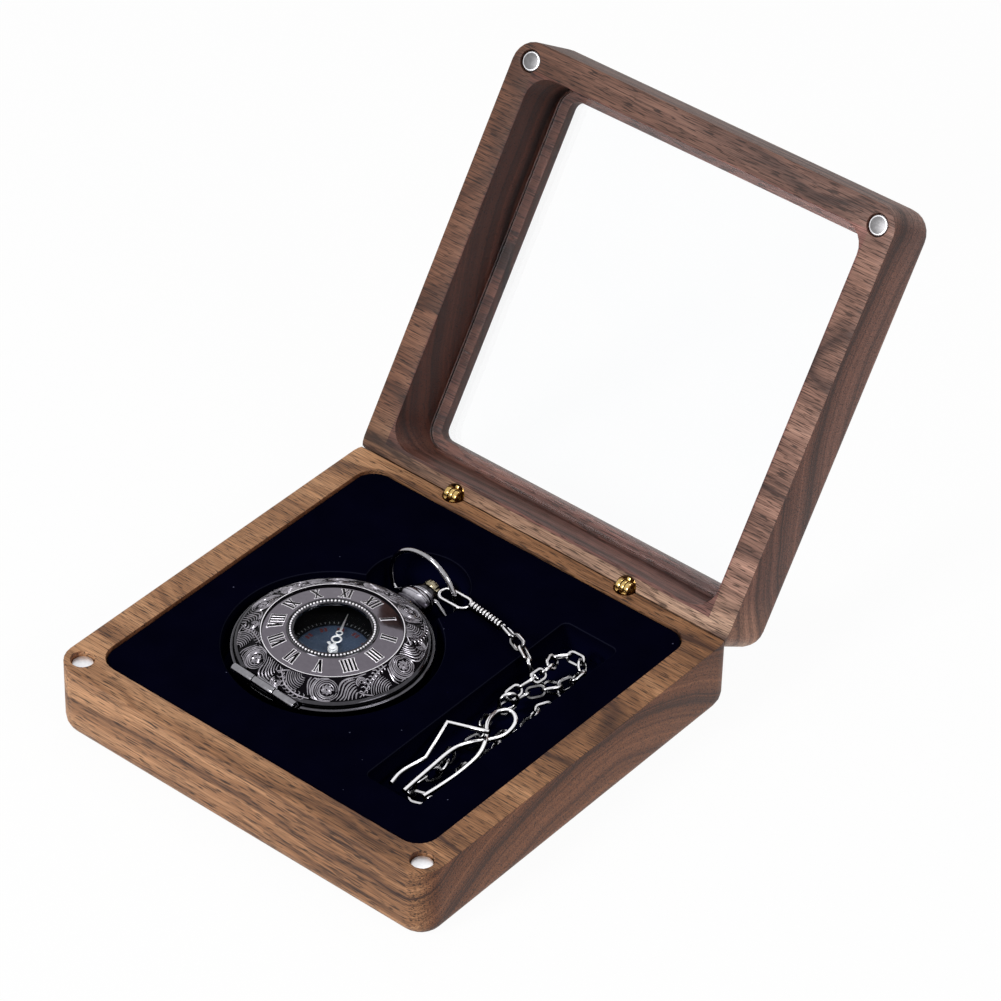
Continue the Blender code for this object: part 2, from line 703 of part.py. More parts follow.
def cover_knuckles():
    """The three knuckles of the cover's hinge: name, left end and right end."""
    gap = CLEARANCE
    width = (COVER_HINGE_WIDTH - 2 * gap) / 3
    left = -COVER_HINGE_WIDTH / 2
    return (
        ("left", left, left + width),
        ("middle", left + width + gap, left + 2 * width + gap),
        ("right", left + 2 * (width + gap), left + COVER_HINGE_WIDTH),
    )


def hinge_lug(left, right):
    """One of the case's two hinge lugs: a block on the case's side with a round top."""
    outline = [(COVER_KNUCKLE_RADIUS * 0.9, -2 * COVER_KNUCKLE_RADIUS), (COVER_KNUCKLE_RADIUS, 0.0)]
    for step in range(1, 9):
        angle = math.pi * step / 8
        outline.append((COVER_KNUCKLE_RADIUS * math.cos(angle), COVER_KNUCKLE_RADIUS * math.sin(angle)))
    outline.append((-COVER_KNUCKLE_RADIUS * 0.9, -2 * COVER_KNUCKLE_RADIUS))
    to_hinge = Matrix(((0, 0, 1, 0), (1, 0, 0, COVER_HINGE_Y), (0, 1, 0, COVER_HINGE_Z), (0, 0, 0, 1)))
    return moved(prism(outline, left, right), to_hinge)


def knuckle_barrel(left, right):
    """One knuckle of the cover's hinge."""
    half = (right - left) / 2
    barrel = disc(COVER_KNUCKLE_RADIUS, -half, half, 16)
    return along_x(barrel, ((left + right) / 2, COVER_HINGE_Y, COVER_HINGE_Z))


def works(watch):
    """Movement, dial and hands."""
    dial_top = MIDDLE_TOP - DIAL_DROP
    dial_bottom = dial_top - DIAL_THICKNESS
    movement_top = dial_bottom - CLEARANCE
    radius = BORE - CLEARANCE
    minute_bottom = dial_top + 2 * HAND_LIFT + HAND_THICKNESS
    post_top = minute_bottom + HAND_THICKNESS + HAND_LIFT / 2
    movement = turned(
        [
            (0.0, movement_top - MOVEMENT_THICKNESS),
            (radius * 0.8, movement_top - MOVEMENT_THICKNESS),
            (radius * 0.8, movement_top - MOVEMENT_THICKNESS * 0.35),
            (radius, movement_top - MOVEMENT_THICKNESS * 0.35),
            (radius, movement_top),
            (POST_RADIUS, movement_top),
            (POST_RADIUS, post_top),
            (0.0, post_top),
        ],
        32,
    )
    movement_object = mesh_object("watch_movement", movement, BRASS, watch)
    slot_start = BORE * STEM_REACH - 2 * CLEARANCE
    stem_slot = along_y(disc(STEM_RADIUS + CLEARANCE, slot_start, FAR, 16), (0, 0, PENDANT_Z))
    combine(movement_object, mesh_object("cut_movement_stem", stem_slot, parent=watch))
    dial = ring_block(radius, POST_RADIUS + CLEARANCE, dial_bottom, dial_top, 40)
    mesh_object("watch_dial", dial, DIAL, watch)
    hour_deg = MINUTE_HAND_DEG / 12 + HOUR_SHOWN * 30.0
    hands = (
        ("hour_hand", HOUR_HAND_LENGTH, dial_top + HAND_LIFT, hour_deg),
        ("minute_hand", MINUTE_HAND_LENGTH, minute_bottom, MINUTE_HAND_DEG),
    )
    for name, length, bottom, turn_deg in hands:
        axis = frame_empty(f"{name}_axis", (0, 0, bottom), (0, 0, math.radians(-turn_deg)), watch)
        hand = mesh_object(name, hand_blade(length), SILVER, axis)
        eye = disc(POST_RADIUS + RUNNING_GAP, -FAR, FAR, 16)
        combine(hand, mesh_object(f"cut_{name}_eye", eye, parent=axis))
        opening = prism(pierced_eye(length), -FAR, FAR)
        combine(hand, mesh_object(f"cut_{name}_opening", opening, parent=axis))


def hand_blade(length):
    """A hand pointing along Y: a hub, two swellings and a long tip, flat on its underside."""
    hub = HAND_HUB_RADIUS
    half = [
        (hub * 0.42, -HAND_TAIL),
        (hub * 0.26, -HAND_TAIL * 0.75),
        (hub * 0.26, -hub),
        (hub * 0.80, -hub * 0.60),
        (hub, 0.0),
        (hub * 0.80, hub * 0.60),
        (hub * 0.30, hub * 1.0),
    ]
    for middle, radius in ((length * HAND_EYE_PLACE, HAND_EYE_RADIUS), (length * 0.50, HAND_EYE_RADIUS * 0.5)):
        for step in range(7):
            angle = math.radians(-75 + 25 * step)
            half.append((radius * math.cos(angle), middle + radius * math.sin(angle)))
    half += [(hub * 0.16, length * 0.58), (hub * 0.38, length * 0.66), (hub * 0.16, length * 0.76)]
    half.append((hub * 0.10, length))
    outline = half + [(-x, y) for x, y in reversed(half)]
    return prism(outline, 0.0, HAND_THICKNESS)


def pierced_eye(length):
    """The round opening in a hand's larger swelling."""
    middle = length * HAND_EYE_PLACE
    wide = HAND_EYE_RADIUS * 0.55
    angles = [2 * math.pi * i / 16 for i in range(16)]
    return [(wide * math.cos(a), middle + wide * math.sin(a)) for a in angles]


def cover(watch):
    """The half-hunter cover: a domed shell with a flatter numeral ring round its window."""
    hinge = frame_empty("cover_hinge", (0, COVER_HINGE_Y, COVER_HINGE_Z), parent=watch)
    edge_top = COVER_BOTTOM + COVER_EDGE_HEIGHT
    ring_top = COVER_TOP
    ring_edge = ring_top - NUMERAL_RING_FALL
    lip = COVER_WINDOW_RADIUS
    pane_seat = COVER_WINDOW_RADIUS + WINDOW_PANE_SEAT
    pane_top = ring_top - COVER_SHEET
    shell = turned(
        [
            (COVER_RADIUS - COVER_SHEET, COVER_BOTTOM),
            (COVER_RADIUS, COVER_BOTTOM),
            (COVER_RADIUS, edge_top),
            (COVER_RADIUS - COVER_EDGE_EASE, edge_top + COVER_EDGE_EASE * 0.8),
            (NUMERAL_RING_OUTER + COVER_EDGE_EASE * 1.2, ring_edge - COVER_EDGE_EASE * 0.4),
            (NUMERAL_RING_OUTER, ring_edge),
            (NUMERAL_RING_INNER, ring_top),
            (NUMERAL_RING_INNER - COVER_EDGE_EASE * 0.4, ring_top + BEAD_RING_HEIGHT),
            (lip + COVER_EDGE_EASE, ring_top + BEAD_RING_HEIGHT),
            (lip, ring_top),
            (lip, pane_top),
            (pane_seat, pane_top),
            (pane_seat, pane_top - WINDOW_PANE_THICKNESS - CLEARANCE),
            (NUMERAL_RING_OUTER, ring_edge - COVER_SHEET),
            (COVER_RADIUS - COVER_SHEET, edge_top - COVER_SHEET),
        ],
        56,
    )
    shell = moved(shell, Matrix.Translation((0, -COVER_HINGE_Y, -COVER_HINGE_Z)))
    body = mesh_object("watch_cover", shell, GUNMETAL, hinge)
    for side, left, right in cover_knuckles():
        if side == "middle":
            continue
        low = (left - CLEARANCE, -FAR, -FAR)
        high = (right + CLEARANCE, COVER_KNUCKLE_RADIUS + CLEARANCE, FAR)
        combine(body, mesh_object(f"cut_cover_{side}", cuboid(low, high), parent=hinge))
    _, left, right = cover_knuckles()[1]
    reach = COVER_KNUCKLE_RADIUS + COVER_SHEET
    low = (left + CLEARANCE, 0.0, -COVER_KNUCKLE_RADIUS * 0.5)
    high = (right - CLEARANCE, reach, COVER_KNUCKLE_RADIUS * 0.6)
    web = cuboid(low, high)
    combine(body, mesh_object("cover_web", web, parent=hinge), "UNION")
    knuckle = moved(knuckle_barrel(left, right), Matrix.Translation((0, -COVER_HINGE_Y, -COVER_HINGE_Z)))
    combine(body, mesh_object("cover_knuckle", knuckle, parent=hinge), "UNION")
    bore = along_x(disc((COVER_PIN_DIAMETER + RUNNING_GAP) / 2, -FAR, FAR, 12), (0, 0, 0))
    combine(body, mesh_object("cut_cover_pin", bore, parent=hinge))
    pane_face = pane_top - CLEARANCE
    pane = disc(pane_seat - CLEARANCE, pane_face - WINDOW_PANE_THICKNESS, pane_face, 40)
    pane = moved(pane, Matrix.Translation((0, -COVER_HINGE_Y, -COVER_HINGE_Z)))
    mesh_object("cover_window", pane, GLASS, hinge)
    half = COVER_HINGE_WIDTH / 2
    pin = along_x(disc(COVER_PIN_DIAMETER / 2, -half, half, 12), (0, COVER_HINGE_Y, COVER_HINGE_Z))
    mesh_object("cover_hinge_pin", pin, GUNMETAL, watch)


def crown_and_stem(watch):
    """The stem, which pulls out, and the fluted crown on its end."""
    start = SLEEVE_END + CROWN_GAP
    slide = frame_empty("stem_slide", (0, start, PENDANT_Z), parent=watch)
    crown = turned(
        [
            (0.0, 0.0),
            (CROWN_RADIUS * 0.8, 0.0),
            (CROWN_RADIUS, CROWN_LENGTH * 0.2),
            (CROWN_RADIUS, CROWN_LENGTH * 0.75),
            (CROWN_RADIUS * 0.7, CROWN_LENGTH),
            (0.0, CROWN_LENGTH),
        ],
        CROWN_FLUTES * 2,
    )
    for vert in crown.verts:
        flat = math.hypot(vert.co.x, vert.co.y)
        number = round(math.atan2(vert.co.y, vert.co.x) / (math.pi / CROWN_FLUTES))
        if flat > CROWN_RADIUS * 0.9 and number % 2:
            vert.co.x *= CROWN_FLUTE_SHARE
            vert.co.y *= CROWN_FLUTE_SHARE
    body = mesh_object("crown", along_y(crown, (0, 0, 0)), GUNMETAL, slide)
    seat = CROWN_LENGTH * CROWN_BORE
    bore = along_y(disc(STEM_RADIUS + CLEARANCE, -CROWN_LENGTH, seat, 16), (0, 0, 0))
    combine(body, mesh_object("cut_crown_bore", bore, parent=slide))
    inner = BORE * STEM_REACH - start
    stem = along_y(disc(STEM_RADIUS, inner, seat - CLEARANCE, 12), (0, 0, 0))
    mesh_object("winding_stem", stem, STEEL, slide)


def bow(watch):
    """The bow: a wire ring with its ends turned in to the collar's sides, standing up."""
    swing = frame_empty("bow_swing", (0, BOW_PIVOT_Y, PENDANT_Z), parent=watch)
    start_angle = math.radians(-BOW_LEG_DEG)
    knee = BOW_RADIUS * math.cos(start_angle)
    low = BOW_RISE + BOW_RADIUS * math.sin(start_angle)
    right = [
        Vector((SLEEVE_RADIUS - BOW_PIN_LENGTH + CLEARANCE, 0, 0)),
        Vector((SLEEVE_RADIUS + BOW_WIRE_RADIUS, 0, 0)),
        Vector((knee * 0.62, 0, low * 0.6)),
        Vector((knee * 0.80, 0, low * 1.2)),
        Vector((knee * 0.92, 0, low * 1.25)),
    ]
    arc = []
    steps = 22
    for step in range(steps + 1):
        angle = start_angle + (math.pi - 2 * start_angle) * step / steps
        arc.append(Vector((BOW_RADIUS * math.cos(angle), 0, BOW_RISE + BOW_RADIUS * math.sin(angle))))
    left = [Vector((-p.x, 0, p.z)) for p in reversed(right)]
    mesh_object("bow", swept(right + arc + left, BOW_WIRE_RADIUS, 8), GUNMETAL, swing)


def watch_point(x, y, z):
    """A point of the watch's own frame, in the box's frame."""
    turn = Matrix.Rotation(math.radians(WATCH_TURN_DEG), 4, "Z")
    return Matrix.Translation((WATCH_X, WATCH_Y, WATCH_Z)) @ turn @ Vector((x, y, z))


def clasp_places():
    """The middle of the clasp's loop, which is round the bow's leg, and its rod's end."""
    rest = VELVET_TOP + CLEARANCE + CLASP_WIRE_RADIUS
    leg = watch_point(BOW_RADIUS, BOW_PIVOT_Y, 0)
    middle = Vector((leg.x, leg.y - CLASP_FORWARD, rest))
    rod_end = middle + Vector((CLASP_LOOP_LENGTH * 0.55, 0, SPRING_RADIUS - CLASP_WIRE_RADIUS))
    return middle, rod_end


def chain_clasp():
    """The clasp: an oblong wire loop round the bow's leg, with a short rod to the spring."""
    middle, rod_end = clasp_places()
    straight = (CLASP_LOOP_LENGTH - CLASP_LOOP_WIDTH) / 2
    turn = CLASP_LOOP_WIDTH / 2
    points = []
    for centre, start in ((straight, -math.pi / 2), (-straight, math.pi / 2)):
        for step in range(7):
            angle = start + math.pi * step / 6
            points.append(middle + Vector((centre + turn * math.cos(angle), turn * math.sin(angle), 0)))
    loop = mesh_object("chain_clasp", swept(points, CLASP_WIRE_RADIUS, 8, closed=True), GUNMETAL)
    rod = swept([middle + Vector((straight + turn, 0, 0)), rod_end], CLASP_WIRE_RADIUS * 1.1, 8)
    combine(loop, mesh_object("clasp_rod", rod), "UNION")


def chain_spring():
    """The close-wound spring section, as a turned piece with a groove between turns."""
    _, start = clasp_places()
    begin = 2 * CLEARANCE
    profile = [(0.0, begin)]
    for turn in range(SPRING_TURNS):
        low = begin + SPRING_LENGTH * turn / SPRING_TURNS
        profile += [
            (SPRING_RADIUS * 0.72, low),
            (SPRING_RADIUS, low + SPRING_LENGTH / SPRING_TURNS * 0.3),
            (SPRING_RADIUS, low + SPRING_LENGTH / SPRING_TURNS * 0.7),
        ]
    profile += [(SPRING_RADIUS * 0.72, begin + SPRING_LENGTH), (0.0, begin + SPRING_LENGTH)]
    heading = Matrix.Rotation(math.radians(SPRING_TURN_DEG), 4, "Z") @ Matrix.Rotation(math.pi / 2, 4, "Y")
    spring = moved(turned(profile, 8), Matrix.Translation(start) @ heading)
    mesh_object("chain_spring", spring, GUNMETAL)


def chain_route():
    """The chain's route: over the velvet, down into the tray, to its front and back over itself."""
    _, start = clasp_places()
    reach = SPRING_LENGTH + LINK_WIRE_RADIUS + 4 * CLEARANCE
    turn = math.radians(SPRING_TURN_DEG)
    first = start + Vector((reach * math.cos(turn), reach * math.sin(turn), CLEARANCE))
    lane = LINK_WIDTH / 2 + CLEARANCE
    over = VELVET_TOP + lane
    left = TRAY_LEFT + lane + CLEARANCE
    right = TRAY_LEFT + TRAY_WIDTH - lane - CLEARANCE
    front = TRAY_FRONT + lane
    low = TRAY_FLOOR + lane
    high = low + LINK_WIDTH + CLEARANCE
    u = ROUTE_UNIT
    after = first.y
    route = [
        (TRAY_LEFT - 2.4 * u, after - 1.9 * u, over),
        (TRAY_LEFT + 2.2 * u, after - 3.7 * u, over - 0.6 * u),
        (left + 1.8 * u, after - 4.7 * u, over - 3.4 * u),
        (left + 5.0 * u, after - 3.6 * u, low + 1.0 * u),
        (right - 2.0 * u, after - 0.6 * u, low),
        (right, after - 5.0 * u, low),
        (right - 2.4 * u, after - 10.5 * u, low),
        (right - 0.2 * u, after - 16.5 * u, low),
        (right - 2.8 * u, after - 22.5 * u, low),
        (right - 0.2 * u, after - 29.0 * u, low),
        (right - 2.0 * u, after - 36.0 * u, low),
        (right, front + 11.0 * u, low),
        (right - 1.8 * u, front + 5.6 * u, low),
        (left + 5.0 * u, front + 4.6 * u, low),
        (left + 3.4 * u, front + 9.0 * u, low),
        (left + 5.2 * u, front + 15.0 * u, low),
        (left + 2.8 * u, front + 21.5 * u, low),
        (left + 4.8 * u, front + 28.0 * u, low),
        (left + 1.8 * u, front + 34.0 * u, low),
        (left + 2.4 * u, front + 40.0 * u, low),
        (left + 4.4 * u, front + 45.0 * u, low + 2.2 * u),
        (right - 3.0 * u, front + 48.0 * u, high),
        (right - 0.4 * u, front + 52.5 * u, high),
        (right - 0.8 * u, front + 59.0 * u, high),
        (right - 4.6 * u, front + 61.6 * u, high),
        (left + 2.4 * u, front + 58.5 * u, high),
        (left + 4.0 * u, front + 54.0 * u, high + 0.6 * u),
        (left + 5.0 * u, front + 48.0 * u, high + LINK_WIDTH * 0.6),
        (left + 3.0 * u, front + 43.0 * u, high),
        (left + 3.2 * u, front + 39.2 * u, high),
    ]
    return [first] + [Vector(place) for place in route]


def even_points(points, pitch):
    """Points along a route, each one pitch from the last in a straight line."""
    out = [points[0].copy()]
    for a, b in zip(points, points[1:]):
        while (b - out[-1]).length >= pitch:
            span = b - a
            offset = a - out[-1]
            dot = offset.dot(span) / span.dot(span)
            root = math.sqrt(max(0.0, dot * dot - (offset.dot(offset) - pitch * pitch) / span.dot(span)))
            out.append(a + span * min(1.0, -dot + root))
            a = out[-1]
            if (b - a).length < 1e-9:
                break
    return out


def link_mesh(start, end, upright, hook):
    """One oval link between two joints, flat or on edge."""
    forward = (end - start).normalized()
    guide = Vector((0, 0, 1)) if abs(forward.z) < 0.8 else Vector((0, 1, 0))
    flat = forward.cross(guide).normalized()
    side = forward.cross(flat).normalized() if upright else flat
    half = (end - start).length / 2 + hook
    turn = LINK_WIDTH / 2 - LINK_WIRE_RADIUS
    middle = (start + end) / 2
    points = []
    for centre, begin in ((half - turn, -math.pi / 2), (turn - half, math.pi / 2)):
        for step in range(4):
            angle = begin + math.pi * step / 3
            run = centre + turn * math.cos(angle)
            points.append(middle + forward * run + side * (turn * math.sin(angle)))
    return swept(points, LINK_WIRE_RADIUS, 4, closed=True)


def watch_chain():
    """The chain: interlocked oval links, joined where each bears on the next."""
    joints = even_points(smooth_route(chain_route(), 12), LINK_PITCH)
    hook = LINK_WIRE_RADIUS * 0.8
    links = bpy.data.collections.new("chain_links")
    bpy.context.scene.collection.children.link(links)
    body = None
    for number, (start, end) in enumerate(zip(joints, joints[1:])):
        bm = link_mesh(start, end, number % 2 == 1, hook)
        if body is None:
            body = mesh_object("watch_chain", bm, GUNMETAL)
            continue
        link = mesh_object(f"link_{number}", bm)
        bpy.context.scene.collection.objects.unlink(link)
        links.objects.link(link)
    modifier = body.modifiers.new("union links", "BOOLEAN")
    modifier.operation = "UNION"
    modifier.solver = "EXACT"
    modifier.operand_type = "COLLECTION"
    modifier.collection = links


def belt_clip():
    """The bent-wire clip on the chain's end: crossed jaws with a loop, and a bar, in the tray."""
    low = TRAY_FLOOR + LINK_WIDTH + 3 * CLEARANCE + CLIP_WIRE_RADIUS
    over = low + 2 * CLIP_WIRE_RADIUS + 2 * CLEARANCE
    front = TRAY_FRONT + CLIP_FROM_FRONT
    left = TRAY_LEFT
    u = ROUTE_UNIT
    jaws = [
        (left + 7.8 * u, front, low),
        (left + 7.3 * u, front + 8.7 * u, low),
        (left + 7.0 * u, front + 17.2 * u, low),
        (left + 8.4 * u, front + 21.7 * u, low),
        (left + 11.0 * u, front + 25.2 * u, low),
        (left + 12.8 * u, front + 29.0 * u, low + 0.2 * u),
        (left + 11.8 * u, front + 33.5 * u, low + 0.4 * u),
        (left + 9.0 * u, front + 35.2 * u, low + 0.7 * u),
        (left + 7.0 * u, front + 32.8 * u, low + 1.0 * u),
        (left + 8.2 * u, front + 28.0 * u, over - 0.2 * u),
        (left + 11.6 * u, front + 23.4 * u, over),
        (left + 13.4 * u, front + 18.7 * u, over - 0.6 * u),
        (left + 13.4 * u, front + 12.7 * u, low + 0.4 * u),
        (left + 12.8 * u, front + 6.7 * u, low),
        (left + 12.2 * u, front + 1.4 * u, low),
    ]
    wire = swept(smooth_route(jaws, 3), CLIP_WIRE_RADIUS, 6)
    mesh_object("belt_clip", wire, GUNMETAL)
    top = over + 2 * CLIP_WIRE_RADIUS + 2 * CLEARANCE
    hook = [
        (left + 4.0 * u, front, low),
        (left + 3.3 * u, front + 4.5 * u, low),
        (left + 4.6 * u, front + 11.0 * u, low + 0.4 * u),
    ]
    bar = [
        Vector((left + 1.5 * u, front + 22.1 * u, over)),
        Vector((left + 12.0 * u, front + 24.1 * u, top)),
    ]
    wire = swept(smooth_route(hook, 3) + bar, CLIP_WIRE_RADIUS, 6)
    mesh_object("belt_clip_bar", wire, GUNMETAL)


def jump_ring():
    """The round ring that joins the chain's last link to the clip's loop."""
    x = TRAY_LEFT + 6.6 * ROUTE_UNIT
    y = TRAY_FRONT + CLIP_FROM_FRONT + 37.2 * ROUTE_UNIT
    middle = Vector((x, y, TRAY_FLOOR + 1.75 * LINK_WIDTH))
    points = []
    for number in range(14):
        angle = 2 * math.pi * number / 14
        lean = Vector((0.5 * math.cos(angle), 0.87 * math.cos(angle), math.sin(angle)))
        points.append(middle + JUMP_RING_RADIUS * lean)
    mesh_object("jump_ring", swept(points, LINK_WIRE_RADIUS, 6, closed=True), GUNMETAL)


def build():
    """The whole part."""
    clear_scene()
    hinge = frame_empty("lid_hinge", (0, PIVOT_Y, PIVOT_Z), (-LID_OPEN, 0, 0))
    closed = frame_empty("lid_closed_frame", (0, -PIVOT_Y, -PIVOT_Z), parent=hinge)
    base()
    lining()
    lid(closed)
    hinges(closed)
    watch = frame_empty("watch_lift", (WATCH_X, WATCH_Y, WATCH_Z), (0, 0, math.radians(WATCH_TURN_DEG)))
    case_parts(watch)
    works(watch)
    cover(watch)
    crown_and_stem(watch)
    bow(watch)
    chain_clasp()
    chain_spring()
    watch_chain()
    belt_clip()
    jump_ring()


build()
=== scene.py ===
"""Looks of the pocket watch display box: walnut box, velvet insert, engraved watch and chain."""
import math

import bpy
from mathutils import Matrix, Vector


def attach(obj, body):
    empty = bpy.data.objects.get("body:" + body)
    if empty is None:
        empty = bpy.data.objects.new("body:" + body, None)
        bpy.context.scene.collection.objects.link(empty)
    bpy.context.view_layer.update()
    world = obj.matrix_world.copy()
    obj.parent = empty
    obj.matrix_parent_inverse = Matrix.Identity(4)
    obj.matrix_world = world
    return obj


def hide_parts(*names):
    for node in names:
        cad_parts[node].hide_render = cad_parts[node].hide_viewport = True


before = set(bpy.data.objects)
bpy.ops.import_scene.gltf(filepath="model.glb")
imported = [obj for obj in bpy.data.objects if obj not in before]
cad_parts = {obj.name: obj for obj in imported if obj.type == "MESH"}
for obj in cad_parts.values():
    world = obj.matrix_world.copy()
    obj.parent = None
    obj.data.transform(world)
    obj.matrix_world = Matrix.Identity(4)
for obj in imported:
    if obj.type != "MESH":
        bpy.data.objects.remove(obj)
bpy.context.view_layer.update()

# Camera at the photograph's place: its position and its own right, up and backward directions
PHOTO_SIZE = 1001
FOCAL_PIXELS = 4679.86
CAMERA_PLACE = (0.52351, -0.61504, 0.70310)
CAMERA_RIGHT = (0.7682102, 0.6398216, 0.0219392)
CAMERA_UP = (-0.4108663, 0.4664519, 0.7833336)
CAMERA_BACK = (0.4909602, -0.6107790, 0.6212143)
SENSOR_WIDTH = 36.0

# The world's light on the object, and the floor's share of plain white beside lit paper
WORLD_LEVEL = 0.34
FLOOR_SHARE = 0.955
BLACK = (0, 0, 0, 1)
WHITE = (1, 1, 1, 1)

# Box sizes that the pieces here share with the solids
PIVOT = Vector((0.0, 0.0508, 0.02015))
LID_OPEN = math.radians(122.75)
VELVET_TOP = 0.0194
RECESS_FLOOR = 0.0093
TRAY_FLOOR = 0.0116
INSERT_BOTTOM = 0.0043
INSERT_LEFT = -0.0479
INSERT_RIGHT = 0.0479
INSERT_FRONT = -0.0472
INSERT_BACK = 0.0467
INSERT_CORNER = 0.0052
RECESS_RADIUS = 0.0254
BOW_RECESS_RADIUS = 0.0123
BOW_RECESS_OFFSET = 0.0280
TRAY = (0.0226, 0.0379, -0.0365, 0.0330)
POCKET_HALF_X = 0.0486
POCKET_HALF_Y = 0.0478
TRAY_CORNER = 0.0015
VELVET_EDGE = 0.0009

# The watch's own frame
WATCH_PLACE = Vector((-0.0123, -0.0076, 0.0096))
WATCH_TURN = math.radians(-2.5)
COVER_RIM = 0.0224
COVER_TOP = 0.0140
NUMERAL_OUTER = 0.0162
NUMERAL_INNER = 0.0106
FIELD_INNER_TOP = 0.01400
FIELD_OUTER_TOP = 0.01306
NUMERAL_MIDDLE = 0.0130
WINDOW_RADIUS = 0.0088
LIP_RADIUS = 0.02292
LIP_TOP = 0.00905
LIP_WIRE = 0.00042
HINGE_HALF = 0.0108
HINGE_LOW = 0.0084
HINGE_REACH = 0.0208
BAND_CELLS = 12
BAND_INNER_TOP = 0.01315
BAND_OUTER_TOP = 0.01068
STROKE_LIFT = 0.00014
BAND_MIDDLE = 0.01910
BAND_SCALE = 0.00086
BEAD_RING = 0.00962
BEAD_RADIUS = 0.0003
BEAD_COUNT = 72
BLUE_DISC = 0.0085
DIAL_TOP = 0.0073
PENDANT_Z = 0.00565
MINUTE_HAND_LENGTH = 0.0118
MINUTE_HAND_ANGLE = math.radians(-27.0)
MINUTE_HAND_Z = 0.00833
HOUR_HAND_LENGTH = 0.0090
HOUR_HAND_ANGLE = math.radians(117.75)
HOUR_HAND_Z = 0.00776
HAND_TAIL = 0.0028
HUB_RADIUS = 0.0009
HUB_DEPTH = 0.0028
HUB_RISE = 0.0002
BOW_PIVOT_Y = 0.03025
BOW_RADIUS = 0.0102
BOW_RISE = 0.0016
BOW_WIRE = 0.0006
BOW_LEG = math.radians(22.0)

# Chain
SPRING_TURN = math.radians(-7.0)
SPRING_TURNS = 10
SPRING_WIRE = 0.00034
SPRING_RADIUS = 0.0008
SPRING_LENGTH = 0.0098
LINK_WIRE = 0.00043
LINK_PITCH = 0.0037
LINK_WIDTH = 0.0033
LINK_LEAN = math.radians(40.0)
CLIP_WIRE = 0.0006


def deselect():
    """Nothing selected, so that an operator acts on what is picked next."""
    bpy.ops.object.select_all(action="DESELECT")


def pick(*objects):
    """These objects selected alone, the first of them active."""
    deselect()
    for obj in objects:
        obj.select_set(True)
    bpy.context.view_layer.objects.active = objects[0]


def editing(mode):
    """Into edit mode or out of it."""
    bpy.ops.object.mode_set(mode=mode)


def settle(obj):
    """The object's place put into its mesh."""
    pick(obj)
    bpy.ops.object.transform_apply(location=True, rotation=True, scale=True)
    return obj


def fit(obj, kind, name, **settings):
    """One modifier, applied."""
    pick(obj)
    modifier = obj.modifiers.new(name, kind)
    for key, value in settings.items():
        setattr(modifier, key, value)
    bpy.ops.object.modifier_apply(modifier=modifier.name)
    return obj


def smooth(obj, degrees):
    """Smooth faces with sharp edges past an angle."""
    pick(obj)
    bpy.ops.object.shade_smooth_by_angle(angle=math.radians(degrees))
    return obj


def edit_all(obj):
    """Into edit mode with the whole mesh selected."""
    pick(obj)
    editing("EDIT")
    bpy.ops.mesh.select_all(action="SELECT")


def shown(obj):
    """A new object, linked to the scene."""
    bpy.context.scene.collection.objects.link(obj)
    return obj


def copied(first, place):
    """A copy of an object with its own mesh, at a place."""
    copy = first.copy()
    copy.data = first.data.copy()
    shown(copy).matrix_world = place
    return copy


def outwards(obj):
    """Doubles merged and normals pointing out."""
    edit_all(obj)
    bpy.ops.mesh.remove_doubles(threshold=0.000002)
    bpy.ops.mesh.normals_make_consistent(inside=False)
    editing("OBJECT")
    return obj


def joined(name, pieces):
    """Several objects made one."""
    pick(*pieces)
    bpy.ops.object.join()
    obj = bpy.context.object
    obj.name = name
    obj.data.name = name
    return obj


def placed(obj, body, slot, material, *nodes):
    """A finished piece: its finish, the body that carries it and the solids that it stands for."""
    obj.data.materials.clear()
    obj.data.materials.append(material)
    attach(obj, body)
    if nodes:
        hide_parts(*nodes)
    return obj


def in_watch(point):
    """A point of the watch's own frame, in the box's frame."""
    return WATCH_PLACE + Matrix.Rotation(WATCH_TURN, 3, "Z") @ Vector(point)


def into_watch(obj):
    """An object modelled in the watch's own frame, put in the box's frame."""
    turn = Matrix.Rotation(WATCH_TURN, 4, "Z")
    obj.matrix_world = Matrix.Translation(WATCH_PLACE) @ turn @ obj.matrix_world
    return settle(obj)


def watch_piece(obj, degrees, body, material, *nodes, slot="gunmetal"):
    """A finished piece that was modelled in the watch's own frame."""
    smooth(into_watch(obj), degrees)
    return placed(obj, body, slot, material, *nodes)


def colour(text):
    """A written sRGB colour, as linear values."""
    parts = [int(text[i : i + 2], 16) / 255 for i in (1, 3, 5)]
    linear = [c / 12.92 if c <= 0.04045 else ((c + 0.055) / 1.055) ** 2.4 for c in parts]
    return (*linear, 1.0)


def add(tree, kind, inputs=None, **settings):
    """Adds a node with its settings. An input is a value, a socket or a node, for its main result."""
    made = tree.nodes.new("ShaderNode" + kind)
    for key, value in settings.items():
        setattr(made, key, value)
    for place, value in (inputs or {}).items():
        if isinstance(value, bpy.types.Node):
            value = value.outputs[2 if value.type == "MIX" else 0]
        if isinstance(value, bpy.types.NodeSocket):
            tree.links.new(value, made.inputs[place])
        else:
            made.inputs[place].default_value = value
    return made


def sums(tree, operation, *values, kind="Math"):
    """Adds a sum of one kind on some values, in their order."""
    return add(tree, kind, dict(enumerate(values)), operation=operation)


def vectors(tree, operation, *values):
    """Adds a sum on vectors."""
    return sums(tree, operation, *values, kind="VectorMath")


def noise(tree, place, scale, **settings):
    """Adds a noise texture at a place."""
    return add(tree, "TexNoise", {"Scale": scale, **settings, "Vector": place})


def ramp(tree, share, *stops):
    """Adds a ramp of colours, its stops each a position and a colour."""
    made = add(tree, "ValToRGB", {"Fac": share})
    elements = made.color_ramp.elements
    while len(elements) < len(stops):
        elements.new(0.5)
    for element, (position, tone) in zip(elements, stops):
        element.position = position
        element.color = tone
    return made


